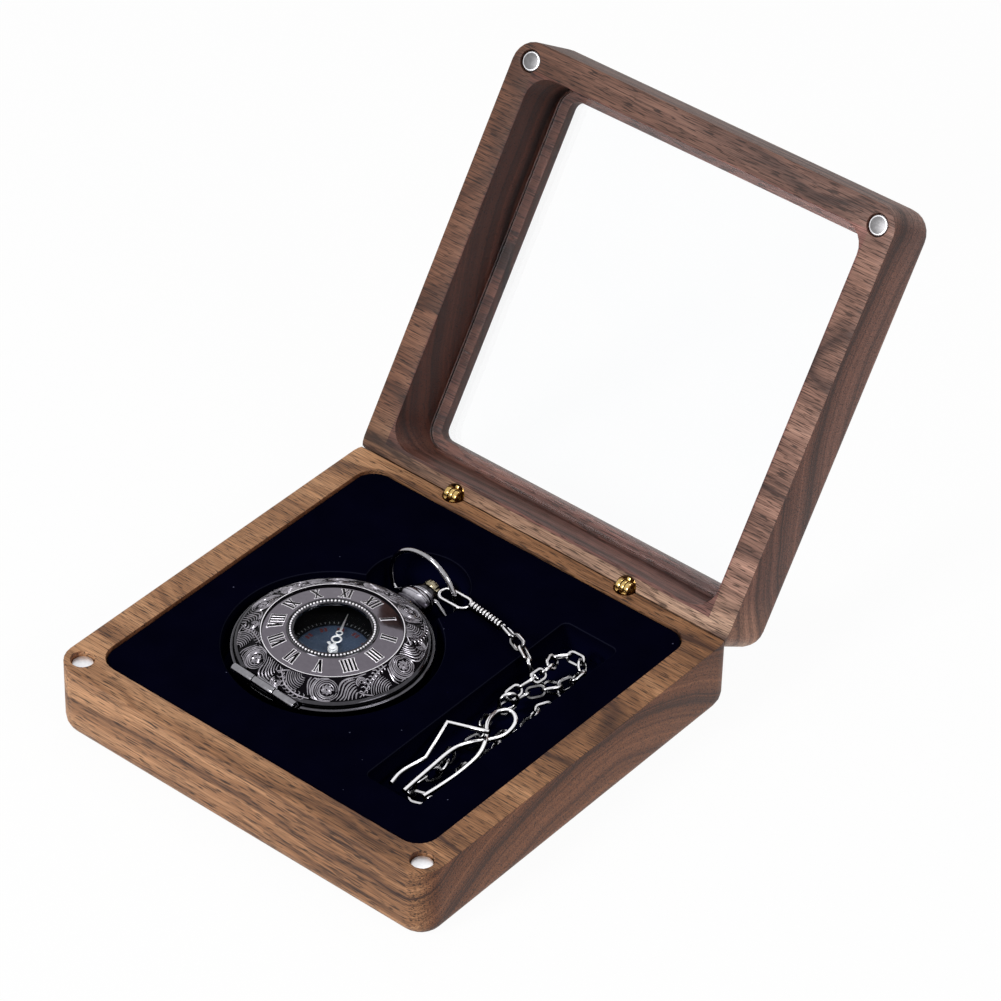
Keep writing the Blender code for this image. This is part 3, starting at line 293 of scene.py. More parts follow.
def blend(tree, share, first, second, **settings):
    """Adds a mix of two colours, with the second one's share."""
    return add(tree, "Mix", {0: share, 6: first, 7: second}, data_type="RGBA", **settings)


def finish(name):
    """A new material with an empty tree, and the tree."""
    material = bpy.data.materials.new(name)
    material.use_nodes = True
    material.node_tree.nodes.clear()
    return material, material.node_tree


def output(material, shader):
    """The material, with the shader on its surface."""
    add(material.node_tree, "OutputMaterial", {"Surface": shader})
    return material


def walnut(name, turn, centre, tones, left, right, front, hinge, inside):
    """Oiled black walnut: growth arcs across the board, fibre and open pores along it."""
    material, tree = finish(name)
    place = add(tree, "TexCoord")
    shift = PIVOT - Matrix.Rotation(turn, 3, "X") @ PIVOT
    board = add(tree, "Mapping",
                {"Location": shift, "Rotation": (turn, 0, 0), "Vector": place.outputs["Object"]})
    # Growth arcs about 4 mm apart, wandering some 6 mm over the board
    wander = noise(tree, board, 16.0, Detail=2.5)
    push = vectors(tree, "MULTIPLY", wander.outputs["Color"], (0.004, 0.020, 0.014))
    bent = vectors(tree, "ADD", board, push)
    away = vectors(tree, "SUBTRACT", bent, (0.0, centre[0], centre[1]))
    across = vectors(tree, "MULTIPLY", away, (0.0, 1.0, 1.0))
    reach = vectors(tree, "LENGTH", across)
    along = add(tree, "SeparateXYZ", {0: board})
    flat = add(tree, "CombineXYZ", {0: along, 1: reach.outputs["Value"]})
    arcs = add(tree, "Mapping", {"Scale": (9, 330, 1), "Vector": flat})
    bands = noise(tree, arcs, 1.0, Detail=4.0, Roughness=0.6)
    # Fibre, about 0.25 mm wide and 12 mm long
    strand = add(tree, "Mapping", {"Scale": (85, 4200, 4200), "Vector": board})
    fibre = noise(tree, strand, 1.0, Detail=3.0, Roughness=0.65)
    # Open pores, about 0.25 mm wide and 4 mm long, more of them in the dark bands
    cell = add(tree, "Mapping", {"Scale": (260, 3100, 3100), "Vector": board})
    pores = noise(tree, cell, 1.0, Detail=1.0, Roughness=0.4)
    crowd = sums(tree, "MULTIPLY_ADD", bands, -0.22, pores)
    pit = ramp(tree, crowd, (0.46, BLACK), (0.53, WHITE))
    tint = ramp(tree, bands, *zip((0.35, 0.47, 0.64), map(colour, tones)))
    grey = ramp(tree, fibre, (0.32, (0.36, 0.33, 0.31, 1)), (0.50, (0.98, 0.97, 0.97, 1)),
                (0.68, (1.42, 1.40, 1.37, 1)))
    woody = blend(tree, 1.0, tint, grey, blend_type="MULTIPLY")
    share = sums(tree, "MULTIPLY", pit, 0.85)
    pored = blend(tree, share, woody, colour("#2b1a13"))
    # End grain takes more oil and is darker; this darkening of the faces turned sideways is also painted
    # shade for the box's shaded side
    facing = add(tree, "SeparateXYZ", {0: place.outputs["Normal"]})
    ends = sums(tree, "ABSOLUTE", facing)
    oiled = add(tree, "MapRange", {0: ends, 1: 0.55, 2: 0.95, 3: 0.0, 4: 1.0})
    oiled_and_shaded = blend(tree, oiled, pored, (0.54, 0.40, 0.36, 1), blend_type="MULTIPLY")
    # Tone scaled by given factors from one end to the other, towards the front and along the hinge; inside
    # the routed pocket the wood is darkened as painted shade
    part = add(tree, "MapRange", {0: along, 1: -0.052, 2: 0.052})
    span = blend(tree, part, (*left, 1), (*right, 1))
    within = []
    for axis, half in enumerate((POCKET_HALF_X, POCKET_HALF_Y)):
        off = sums(tree, "ABSOLUTE", along.outputs[axis])
        within.append(sums(tree, "LESS_THAN", off, half))
    pocket = sums(tree, "MULTIPLY", *within)
    length = add(tree, "MapRange", {0: along.outputs[1], 1: -0.055, 2: 0.055})
    rail = ramp(tree, length, (0.06, (*front, 1)), (0.14, WHITE), (0.86, WHITE), (0.95, (*hinge, 1)))
    # The inside factor is the pocket's painted shade
    rail_and_pocket_shade = blend(tree, pocket, rail, (*inside, 1))
    spanned = vectors(tree, "MULTIPLY", span, rail_and_pocket_shade)
    shaded = vectors(tree, "MULTIPLY", oiled_and_shaded, spanned)
    height = sums(tree, "MULTIPLY_ADD", pit, -1.2, fibre)
    bump = add(tree, "Bump", {"Strength": 0.45, "Distance": 0.00008, "Height": height})
    gloss = add(tree, "MapRange", {0: fibre, 3: 0.45, 4: 0.62})
    shader = add(tree, "BsdfPrincipled",
                 {"Specular IOR Level": 0.3, "Base Color": shaded, "Roughness": gloss, "Normal": bump})
    return output(material, shader)


def velvet():
    """Flocked velvet: blue-black pile that pales a little at a glancing angle, with lint on it; its edges
    and sunk floors are painted paler, as painted sheen and painted light.
    """
    material, tree = finish("blue-black flocked velvet")
    place = add(tree, "TexCoord").outputs["Object"]
    # Pile laid over in patches some 9 mm wide
    patch = noise(tree, place, 110.0, Detail=3.0)
    # Fibres of 0.1 mm are too fine to show, so they are drawn 0.4 mm wide
    pile = noise(tree, place, 2500.0, Detail=1.0)
    lint = add(tree, "TexVoronoi", {"Scale": 260.0, "Vector": place})
    speck = ramp(tree, lint.outputs["Distance"], (0.035, WHITE), (0.055, BLACK))
    rare = add(tree, "SeparateColor", {0: lint.outputs["Color"]})
    few = sums(tree, "GREATER_THAN", rare, 0.80)
    dot = sums(tree, "MULTIPLY", speck, few)
    nap = blend(tree, patch, colour("#02020b"), colour("#050516"))
    # On the sunk floors the velvet is painted paler, painted light that offsets the shade in the recesses
    deep = add(tree, "SeparateXYZ", {0: place})
    sunk = add(tree, "MapRange", {0: deep.outputs[2], 1: 0.0185, 2: 0.0125})
    nap = blend(tree, sunk, nap, colour("#070820"))
    spotted = blend(tree, dot, nap, colour("#53556a"))
    # Faces tilted over an edge are painted paler, a painted sheen along the edges
    lean = add(tree, "SeparateXYZ", {0: add(tree, "TexCoord").outputs["Normal"]})
    edge_painted_sheen = ramp(tree, lean.outputs[2], (0.30, BLACK), (0.62, WHITE), (0.90, BLACK))
    edge = blend(tree, edge_painted_sheen, spotted, colour("#191a26"))
    bump = add(tree, "Bump", {"Strength": 0.5, "Distance": 0.0001, "Height": pile})
    shader = add(tree, "BsdfPrincipled",
                 {"Roughness": 1.0, "Specular IOR Level": 0.0, "Sheen Weight": 0.012,
                  "Sheen Roughness": 0.3, "Sheen Tint": colour("#6a74a8"), "Base Color": edge,
                  "Normal": bump})
    return output(material, shader)


def metal(name, pale, dark, roughness, mottle=900.0, uneven=0.10):
    """A bare or plated metal, polished, with faint clouding."""
    material, tree = finish(name)
    place = add(tree, "TexCoord").outputs["Object"]
    cloud = noise(tree, place, mottle, Detail=3.0)
    tone = blend(tree, cloud, colour(dark), colour(pale))
    gloss = add(tree, "MapRange", {0: cloud, 3: roughness, 4: roughness + uneven})
    bump = add(tree, "Bump", {"Strength": 0.08, "Distance": 0.00003, "Height": cloud})
    shader = add(tree, "BsdfPrincipled",
                 {"Metallic": 1.0, "Base Color": tone, "Roughness": gloss, "Normal": bump})
    return output(material, shader)


def top_highlit_metal(name, bright, dark, low, high):
    """A dark metal whose upward faces are painted bright, a painted highlight in crisp pale strokes."""
    material, tree = finish(name)
    place = add(tree, "TexCoord")
    cloud = noise(tree, place.outputs["Object"], 900.0, Detail=3.0)
    side = add(tree, "SeparateXYZ", {0: place.outputs["Normal"]})
    # Faces that point up are painted bright, a painted highlight, with a little cloud in it
    patchy = sums(tree, "MULTIPLY_ADD", cloud, 0.16, side.outputs[2])
    rubbed = add(tree, "MapRange", {0: patchy, 1: low + 0.08, 2: high + 0.08},
                 interpolation_type="SMOOTHSTEP")
    tone = blend(tree, rubbed, colour(dark), colour(bright))
    gloss = add(tree, "MapRange", {0: cloud, 3: 0.10, 4: 0.18})
    shader = add(tree, "BsdfPrincipled", {"Metallic": 1.0, "Base Color": tone, "Roughness": gloss})
    return output(material, shader)


def clear_glass(name, tint, index):
    """Clear polished glass with a trace of its edge colour and faint smears; lamp light passes it."""
    material, tree = finish(name)
    place = add(tree, "TexCoord").outputs["Object"]
    smear = noise(tree, place, 60.0, Detail=4.0)
    tone = blend(tree, smear, colour(tint), colour("#ffffff"))
    glass = add(tree, "BsdfPrincipled",
                {"Roughness": 0.0, "IOR": index, "Transmission Weight": 1.0, "Base Color": tone})
    open_way = add(tree, "BsdfTransparent", {"Color": (0.95, 0.96, 0.97, 1)})
    path = add(tree, "LightPath")
    lit = sums(tree, "MAXIMUM", path.outputs["Is Shadow Ray"], path.outputs["Is Diffuse Ray"])
    both = add(tree, "MixShader", {0: lit, 1: glass, 2: open_way})
    return output(material, both)


def dial_enamel():
    """Enamelled dial: a slate-blue disc in a black outer ring, with a fine stippled grain."""
    material, tree = finish("slate blue and black dial enamel")
    place = add(tree, "TexCoord").outputs["Object"]
    centre = in_watch((0, 0, 0))
    off = vectors(tree, "SUBTRACT", place, centre)
    level = vectors(tree, "MULTIPLY", off, (1.0, 1.0, 0.0))
    reach = vectors(tree, "LENGTH", level)
    outer = add(tree, "MapRange", {0: reach.outputs["Value"], 1: BLUE_DISC - 0.0001, 2: BLUE_DISC + 0.0001})
    grain = noise(tree, place, 1800.0, Detail=2.0)
    blue = blend(tree, grain, colour("#3c4a60"), colour("#56667f"))
    tone = blend(tree, outer, blue, colour("#050507"))
    shader = add(tree, "BsdfPrincipled", {"Roughness": 0.5, "Specular IOR Level": 0.2, "Base Color": tone})
    return output(material, shader)


def plain_print(name, tone):
    """A thick printed ink, slightly uneven."""
    material, tree = finish(name)
    place = add(tree, "TexCoord").outputs["Object"]
    grain = noise(tree, place, 3000.0)
    mixed = blend(tree, grain, colour(tone), colour("#30302f"))
    return output(material, add(tree, "BsdfPrincipled", {"Roughness": 0.5, "Base Color": mixed}))


WALNUT_BASE = walnut("oiled walnut of the base", 0.0, (0.012, -0.055),
                     tones=("#4a3024", "#946a4a", "#be906a"), left=(1, 1, 1), right=(0.92, 0.90, 0.88),
                     front=(1, 1, 1), hinge=(1, 1, 1), inside=(1, 1, 1))
# The lid's inside factor darkens its pocket as painted shade
WALNUT_LID = walnut("oiled walnut of the lid", LID_OPEN, (-0.015, 0.110),
                    tones=("#39251f", "#715143", "#987361"), left=(0.64, 0.54, 0.46),
                    right=(1.36, 1.42, 1.52), front=(0.72, 0.72, 0.76), hinge=(1.90, 2.30, 2.20),
                    inside=(0.78, 0.66, 0.74))
VELVET = velvet()
GUNMETAL = metal("polished gunmetal plate", "#4a494d", "#37363a", 0.10, uneven=0.05)
BLACKED = metal("blacked recess of the engraving", "#100e12", "#09080b", 0.42)
RELIEF = metal("rubbed gunmetal relief", "#b6b2b9", "#5a575f", 0.20)
# Numeral tops painted black as dark reflection, over slightly larger bright silver bars whose rims show as
# a painted highlight; the bright silver also paints the beads and the numeral ring's edge
NUMERAL = metal("numeral tops painted black as dark reflection", "#08070a", "#040305", 0.4)
HIGHLIGHT_SILVER = metal("silver painted as highlight", "#f6f3f8", "#dad7dc", 0.40)
NUMERAL_FIELD = metal("polished gunmetal field", "#736e76", "#635e66", 0.05, uneven=0.03)
RIM_STEEL = metal("polished gunmetal rim", "#605f64", "#4a494e", 0.10, uneven=0.05)
HINGE_HIGHLIGHT_STEEL = metal("steel of the hinge, painted bright as highlight", "#9b9a9f", "#6f6e73", 0.12, uneven=0.05)
BOW_STEEL = metal("polished steel of the bow", "#b0afb3", "#858488", 0.08, uneven=0.05)
# Pendant and chain are painted bright on their upward faces, a painted highlight
PENDANT_STEEL = top_highlit_metal("gunmetal pendant, painted highlight on top", "#b4b2ba", "#39363d", 0.70, 1.02)
CHAIN_STEEL = top_highlit_metal("dark wire, painted highlight on top", "#f4f3f6", "#19181b", 0.50, 0.93)
CROWN_METAL = metal("warm worn gunmetal", "#c2b698", "#4e4a42", 0.14)
BRASS = metal("polished brass", "#e2c586", "#a5813f", 0.14)
NICKEL = metal("nickelled magnet", "#f2f2f4", "#d6d6da", 0.34, 1500.0)
DARKER_NICKEL = metal("darker nickel of the lid magnets' faces", "#7d7c7d", "#5a595b", 0.34, 1500.0)
SILVER = metal("silvered hand", "#fafafa", "#ededed", 0.45)
GLASS = clear_glass("clear sheet glass", "#fdfeff", 1.45)
# The watch's crystals have a coating that takes their glare away, and this is the coated face's index
CRYSTAL = clear_glass("coated mineral crystal", "#f8fafc", 1.04)
DIAL = dial_enamel()
RED = plain_print("red printed mark", "#8e2a2c")
WHITE_PRINT = plain_print("white printed mark", "#c9ccd0")


def eased(node, body, slot, material, edge, segments=2, degrees=30, name=None, shading=None):
    """A solid's copy with its loose triangles merged, flat faces whole and sharp edges eased."""
    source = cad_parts[node]
    piece = shown(bpy.data.objects.new(name or node + "_piece", source.data.copy()))
    pick(piece)
    bpy.ops.mesh.customdata_custom_splitnormals_clear()
    edit_all(piece)
    bpy.ops.mesh.remove_doubles(threshold=0.000002)
    bpy.ops.mesh.dissolve_limited(angle_limit=math.radians(0.5))
    editing("OBJECT")
    if edge:
        fit(piece, "BEVEL", "eased edges", width=edge, segments=segments, limit_method="ANGLE",
            angle_limit=math.radians(degrees), use_clamp_overlap=True)
    smooth(piece, degrees if shading is None else shading)
    return placed(piece, body, slot, material, node)


def tube(name, points, radius, sides, closed=False, radii=None):
    """Round wire along points, made a mesh with closed ends."""
    curve = bpy.data.curves.new(name, "CURVE")
    curve.dimensions = "3D"
    curve.bevel_depth = radius
    curve.bevel_resolution = max(0, sides // 4 - 1)
    curve.use_fill_caps = True
    spline = curve.splines.new("POLY")
    spline.points.add(len(points) - 1)
    for number, point in enumerate(points):
        spline.points[number].co = (*point, 1.0)
        if radii:
            spline.points[number].radius = radii[number]
    spline.use_cyclic_u = closed
    pick(shown(bpy.data.objects.new(name, curve)))
    bpy.ops.object.convert(target="MESH")
    return outwards(bpy.context.object)


def smooth_route(points, per_span):
    """Points on a Catmull-Rom curve through a route's own points."""
    route = [Vector(p) for p in points]
    ends = [2 * route[0] - route[1]] + route + [2 * route[-1] - route[-2]]
    out = []
    for i in range(1, len(ends) - 2):
        a, b, c, d = ends[i - 1 : i + 3]
        for step in range(per_span):
            t = step / per_span
            curve = (2 * a - 5 * b + 4 * c - d) * t * t + (3 * b - a - 3 * c + d) * t**3
            out.append(0.5 * (2 * b + (c - a) * t + curve))
    out.append(route[-1])
    return out


def turned(name, profile, steps):
    """A profile of (radius, height) points spun about the upright axis into a closed ring or solid."""
    mesh = bpy.data.meshes.new(name)
    count = len(profile)
    edges = [(i, i + 1) for i in range(count - 1)]
    if profile[0][0] > 0.0:
        edges.append((count - 1, 0))
    mesh.from_pydata([(radius, 0.0, height) for radius, height in profile], edges, [])
    obj = shown(bpy.data.objects.new(name, mesh))
    edit_all(obj)
    bpy.ops.mesh.spin(steps=steps, angle=2 * math.pi, center=(0, 0, 0), axis=(0, 0, 1))
    editing("OBJECT")
    return outwards(obj)


def block(name, low, high):
    """A cube between two corners."""
    low, high = Vector(low), Vector(high)
    bpy.ops.mesh.primitive_cube_add(size=1, location=(low + high) / 2)
    obj = bpy.context.object
    obj.name = name
    obj.scale = high - low
    return settle(obj)


def round_edges(obj, offset, segments, test, **settings):
    """Rounds the edges whose two ends pass a test."""
    pick(obj)
    editing("EDIT")
    bpy.ops.mesh.select_all(action="DESELECT")
    bpy.ops.mesh.select_mode(type="EDGE")
    editing("OBJECT")
    verts = obj.data.vertices
    for edge in obj.data.edges:
        edge.select = test(verts[edge.vertices[0]].co, verts[edge.vertices[1]].co)
    editing("EDIT")
    bpy.ops.mesh.bevel(offset=offset, segments=segments, **settings)
    editing("OBJECT")


def upright_edge(a, b):
    """Whether an edge runs up from one end to the other."""
    return abs(a.z - b.z) > 0.001


def cylinder(place, radius, vertices):
    """A tall upright cylinder that stands on a recess's floor."""
    depth = 0.03
    bpy.ops.mesh.primitive_cylinder_add(vertices=vertices, radius=radius, depth=depth,
                                        location=(*place.xy, RECESS_FLOOR + depth / 2))
    return settle(bpy.context.object)


def cut(obj, cutter):
    """One object cut out of another, and removed."""
    fit(obj, "BOOLEAN", "cut", operation="DIFFERENCE", solver="EXACT", object=cutter)
    bpy.data.objects.remove(cutter)
    return obj


def velvet_insert():
    """The padded insert: foam under velvet, sunk for the watch and for the chain, its edges soft."""
    obj = block("velvet_insert", (INSERT_LEFT, INSERT_FRONT, INSERT_BOTTOM),
                (INSERT_RIGHT, INSERT_BACK, VELVET_TOP))
    round_edges(obj, INSERT_CORNER, 8, upright_edge)
    well = cylinder(in_watch((0, 0, 0)), RECESS_RADIUS, 96)
    lobe = cylinder(in_watch((0, BOW_RECESS_OFFSET, 0)), BOW_RECESS_RADIUS, 64)
    fit(well, "BOOLEAN", "lobe", operation="UNION", solver="EXACT", object=lobe)
    bpy.data.objects.remove(lobe)
    cut(obj, well)
    tray = block("chain_tray", (TRAY[0], TRAY[2], TRAY_FLOOR), (TRAY[1], TRAY[3], 0.04))
    round_edges(tray, TRAY_CORNER, 4, upright_edge)
    cut(obj, tray)
    top = VELVET_TOP - 0.00001
    round_edges(obj, VELVET_EDGE, 4, lambda a, b: a.z > top and b.z > top, clamp_overlap=True)
    smooth(obj, 40)
    placed(obj, "base", "velvet", VELVET, "velvet_lining", "foam_insert")


def box_pieces():
    """Wood, glass, magnets and hinges."""
    eased("base_frame", "base", "walnut", WALNUT_BASE, 0.0004, 3, 40)
    eased("lid_frame", "lid", "walnut", WALNUT_LID, 0.0004, 3, 40)
    # Its broad faces are shaded flat, so that what is seen through them isn't bent
    eased("glass_pane", "lid", "glass", GLASS, 0.0003, shading=1)
    for side in ("left", "right"):
        eased(f"base_magnet_{side}", "base", "magnet_steel", NICKEL, 0.0002, 3, shading=20)
        # The lid magnets' broad faces are darker nickel than their edges
        disc = eased(f"lid_magnet_{side}", "lid", "magnet_steel", DARKER_NICKEL, 0.0005, 3, shading=20)
        disc.data.materials.append(NICKEL)
        flat = max(disc.data.polygons, key=lambda face: face.area).normal.copy()
        for face in disc.data.polygons:
            if abs(face.normal.dot(flat)) < 0.99:
                face.material_index = 1
        eased(f"hinge_{side}_base_barrel", "base", "brass", BRASS, 0.00012)
        eased(f"hinge_{side}_lid_barrel", "lid", "brass", BRASS, 0.00012)
        eased(f"hinge_{side}_pin", "base", "brass", BRASS, 0.00008)


def ring_place(angle, radius, lift):
    """A point over the cover's engraved slope, by clock angle from the pendant."""
    inner, outer = NUMERAL_OUTER + 0.0005, COVER_RIM - 0.0009
    share = (radius - inner) / (outer - inner)
    height = BAND_INNER_TOP + (BAND_OUTER_TOP - BAND_INNER_TOP) * share
    return Vector((radius * math.sin(angle), radius * math.cos(angle), height + lift))


def stroke(path, half_width):
    """A tapered raised line on the cover, from flat cell points in mm: x along the ring, y outwards."""
    points, radii = [], []
    steps = len(path) - 1
    for number, (x, y) in enumerate(path):
        taper = math.sin(math.pi * (0.10 + 0.82 * number / steps)) ** 0.6
        half = half_width * 0.001 * taper
        points.append(ring_place(x * 0.001 / BAND_MIDDLE, BAND_MIDDLE + y * BAND_SCALE,
                                 STROKE_LIFT - half * 0.5))
        radii.append(half)
    return tube("stroke", points, 1.0, 8, radii=radii)


def arc(cx, cy, radius, start, end, steps, inner=None):
    """Points of a circle or a spiral in the flat cell."""
    last = radius if inner is None else inner
    out = []
    for number in range(steps + 1):
        t = number / steps
        angle = math.radians(start + (end - start) * t)
        r = radius + (last - radius) * t
        out.append((cx + r * math.cos(angle), cy + r * math.sin(angle)))
    return out


def sweep(x0, y0, x1, y1, sag, steps):
    """Points of a bowed line in the flat cell."""
    out = []
    for number in range(steps + 1):
        t = number / steps
        bow = sag * math.sin(math.pi * t)
        out.append((x0 + (x1 - x0) * t - (y1 - y0) * bow, y0 + (y1 - y0) * t + (x1 - x0) * bow))
    return out


def leaf(points):
    """A smooth line through flat cell points."""
    return [(p.x, p.y) for p in smooth_route([(x, y, 0.0) for x, y in points], 4)]


def fan_cell():
    """One leaf of the carved band: a fan of nested arcs beside a ruffled leaf."""
    lines = []
    for number in range(8):
        radius = 1.0 + 0.52 * number
        lines.append((arc(-2.3, -3.1, radius, 4, 112 - 5 * number, 16), 0.22 if number % 2 else 0.15))
    midrib = leaf([(-4.8, 2.6), (-2.6, 2.35), (-0.6, 1.75), (1.4, 0.7), (2.9, -0.9), (4.9, -2.5)])
    lines.append((midrib, 0.22))
    for number in range(9):
        x, y = midrib[2 + 2 * number]
        reach = 1.15 + 0.25 * math.sin(1.3 * number)
        lines.append((sweep(x, y, x + reach * 0.95, y + reach * 0.55, 0.32, 6), 0.19))
        lines.append((sweep(x + 0.15, y - 0.1, x + reach * 0.25, y - reach * 0.75, -0.30, 6), 0.14))
    for radius, width in ((1.35, 0.20), (0.95, 0.16), (0.5, 0.2)):
        lines.append((arc(3.4, 1.15, radius, -40, 245, 18, radius * 0.75), width))
    for shift, width in ((0.0, 0.16), (0.95, 0.21)):
        side = [(-5.1 + shift, -2.75), (-4.4 + 0.7 * shift, -1.7), (-4.3 + 0.5 * shift, -0.5),
                (-4.6 + 0.5 * shift, 0.7), (-5.0 + 0.6 * shift, 1.8)]
        lines.append((leaf(side), width))
    lines.append((leaf([(1.6, 2.8), (3.0, 2.75), (4.9, 2.5)]), 0.17))
    lines.append((leaf([(2.0, -2.8), (3.4, -2.2), (4.9, -1.2)]), 0.18))
    return lines


def volute_cell():
    """One scroll of the carved band: a volute with veined leaf in it, fed by a sheaf of long leaves."""
    cx, cy = 1.7, 0.0
    lines = [
        (leaf([(-5.1, -2.65), (-3.3, -2.5), (-1.9, -1.9), (-1.2, -0.8), (-1.05, 0.3)]), 0.24),
        (arc(cx, cy, 2.70, 172, -190, 30, 2.55), 0.21),
        (arc(cx, cy, 2.26, 160, -196, 28, 2.10), 0.17),
        (arc(cx, cy, 1.88, 140, -190, 26, 1.55), 0.20),
        (leaf([(-5.1, -2.1), (-3.6, -1.9), (-2.4, -1.2), (-1.8, 0.0), (-1.3, 1.4), (-0.3, 2.6)]), 0.18),
        (leaf([(-5.0, -1.55), (-3.9, -1.3), (-2.9, -0.5), (-2.3, 0.6), (-1.9, 1.7), (-1.0, 2.7)]), 0.22),
        (leaf([(-5.0, -0.95), (-4.1, -0.7), (-3.2, 0.1), (-2.7, 1.1), (-2.3, 2.1), (-1.8, 2.75)]), 0.17),
        (leaf([(-5.0, -0.3), (-4.3, 0.0), (-3.5, 0.8), (-3.0, 1.8), (-2.7, 2.75)]), 0.22),
        (leaf([(-5.0, 0.4), (-4.4, 0.8), (-3.8, 1.6), (-3.5, 2.75)]), 0.17),
        (leaf([(-5.0, 1.2), (-4.6, 1.6), (-4.3, 2.75)]), 0.21),
        (arc(cx, cy, 3.15, -64, 60, 14), 0.20),
        (arc(cx, cy, 3.55, -52, 48, 12), 0.16),
        (leaf([(1.3, -2.85), (2.6, -2.8), (3.9, -2.5), (5.0, -2.65)]), 0.18),
        (leaf([(0.9, 2.85), (2.2, 2.82), (3.6, 2.6), (4.9, 2.2)]), 0.18),
    ]
    # Leaves that curl round the volute's eye, each a pair of bowed strokes
    for number in range(8):
        angle = math.radians(45 * number + 12)
        for reach, lean, width in ((1.34, 62, 0.20), (1.10, 22, 0.13)):
            far = angle - math.radians(lean)
            lines.append((sweep(cx + 0.22 * math.cos(angle), cy + 0.22 * math.sin(angle),
                                cx + reach * math.cos(far), cy + reach * math.sin(far), 0.28, 6), width))
    # Short ruffles along the sheaf's outer edge
    for number in range(5):
        x, y = -4.7 + 0.55 * number, -2.0 + 0.12 * number**1.6
        lines.append((sweep(x, y - 0.75, x + 0.42, y - 0.28, 0.35, 5), 0.14))
    return lines


def carved_cell(lines, side):
    """A cell's lines as raised strokes, mirrored across the band where side is -1."""
    return joined("carved_cell", [stroke([(x, side * y) for x, y in path], width) for path, width in lines])


def scroll_relief():
    """The carved band: volutes and leaves, each also mirrored, repeated round the ring."""
    cells = []
    patterns = ((volute_cell(), 1), (fan_cell(), 1), (volute_cell(), -1), (fan_cell(), -1))
    for kind, (lines, side) in enumerate(patterns):
        first = carved_cell(lines, side)
        for number in range(BAND_CELLS // len(patterns)):
            turn = 2 * math.pi * (len(patterns) * number + kind + 0.5) / BAND_CELLS
            cells.append(copied(first, Matrix.Rotation(-turn, 4, "Z")))
        bpy.data.objects.remove(first)
    return outwards(settle(joined("cover_scroll_relief", cells)))


def numeral_strokes(text):
    """Roman numeral strokes in a flat cell, in mm: (x0, y0, x1, y1, width) with y outwards."""
    advance = {"I": 0.88, "V": 1.95, "X": 1.85}
    total = sum(advance[c] for c in text)
    x = -total / 2
    high, low = 1.70, -1.70
    strokes = []
    for c in text:
        wide = advance[c]
        left, right, centre = x + 0.30, x + wide - 0.30, x + wide / 2
        if c == "I":
            strokes += [(centre, low, centre, high, 0.48)]
            feet = (centre,)
        elif c == "V":
            strokes += [(left, high, centre, low, 0.58), (right, high, centre, low, 0.32)]
            feet = (left, right)
        else:
            strokes += [(left, high, right, low, 0.52), (right, high, left, low, 0.28)]
            feet = (left, right)
        for foot in feet:
            strokes.append((foot - 0.36, high, foot + 0.36, high, 0.14))
            if c != "V":
                strokes.append((foot - 0.36, low, foot + 0.36, low, 0.14))
        x += wide
    return strokes


def numerals(name, grow, top):
    """Twelve raised Roman numerals round the window, their feet to the middle."""
    bars = []
    fall = math.atan2(FIELD_OUTER_TOP - FIELD_INNER_TOP, NUMERAL_OUTER - NUMERAL_INNER)
    share = (NUMERAL_MIDDLE - NUMERAL_INNER) / (NUMERAL_OUTER - NUMERAL_INNER)
    height = FIELD_INNER_TOP + (FIELD_OUTER_TOP - FIELD_INNER_TOP) * share
    tilt = Matrix.Translation((0, NUMERAL_MIDDLE, height)) @ Matrix.Rotation(fall, 4, "X")
    for hour, text in enumerate("XII I II III IIII V VI VII VIII IX X XI".split()):
        turn = Matrix.Rotation(-math.radians(30 * hour), 4, "Z") @ tilt
        for x0, y0, x1, y1, width in numeral_strokes(text):
            run = Vector((x1 - x0, y1 - y0, 0))
            half = (width / 2 + grow) * 0.001
            reach = (run.length / 2 + grow) * 0.001
            bar = block("bar", (-half, -reach, -0.0001), (half, reach, top))
            lean = Matrix.Rotation(math.atan2(run.y, run.x) - math.pi / 2, 4, "Z")
            bar.matrix_world = turn @ Matrix.Translation(((x0 + x1) / 2000, (y0 + y1) / 2000, 0)) @ lean
            bars.append(settle(bar))
    obj = joined(name, bars)
    return fit(obj, "BEVEL", "eased edges", width=0.00004, segments=1, limit_method="ANGLE")


def beads():
    """The ring of small beads between the numerals and the window."""
    bpy.ops.mesh.primitive_ico_sphere_add(subdivisions=2, radius=BEAD_RADIUS)
    first = bpy.context.object
    made = []
    for number in range(BEAD_COUNT):
        angle = 2 * math.pi * number / BEAD_COUNT
        place = (BEAD_RING * math.sin(angle), BEAD_RING * math.cos(angle), COVER_TOP + 0.00008)
        made.append(copied(first, Matrix.Translation(place)))
    bpy.data.objects.remove(first)
    return smooth(settle(joined("cover_beads", made)), 60)


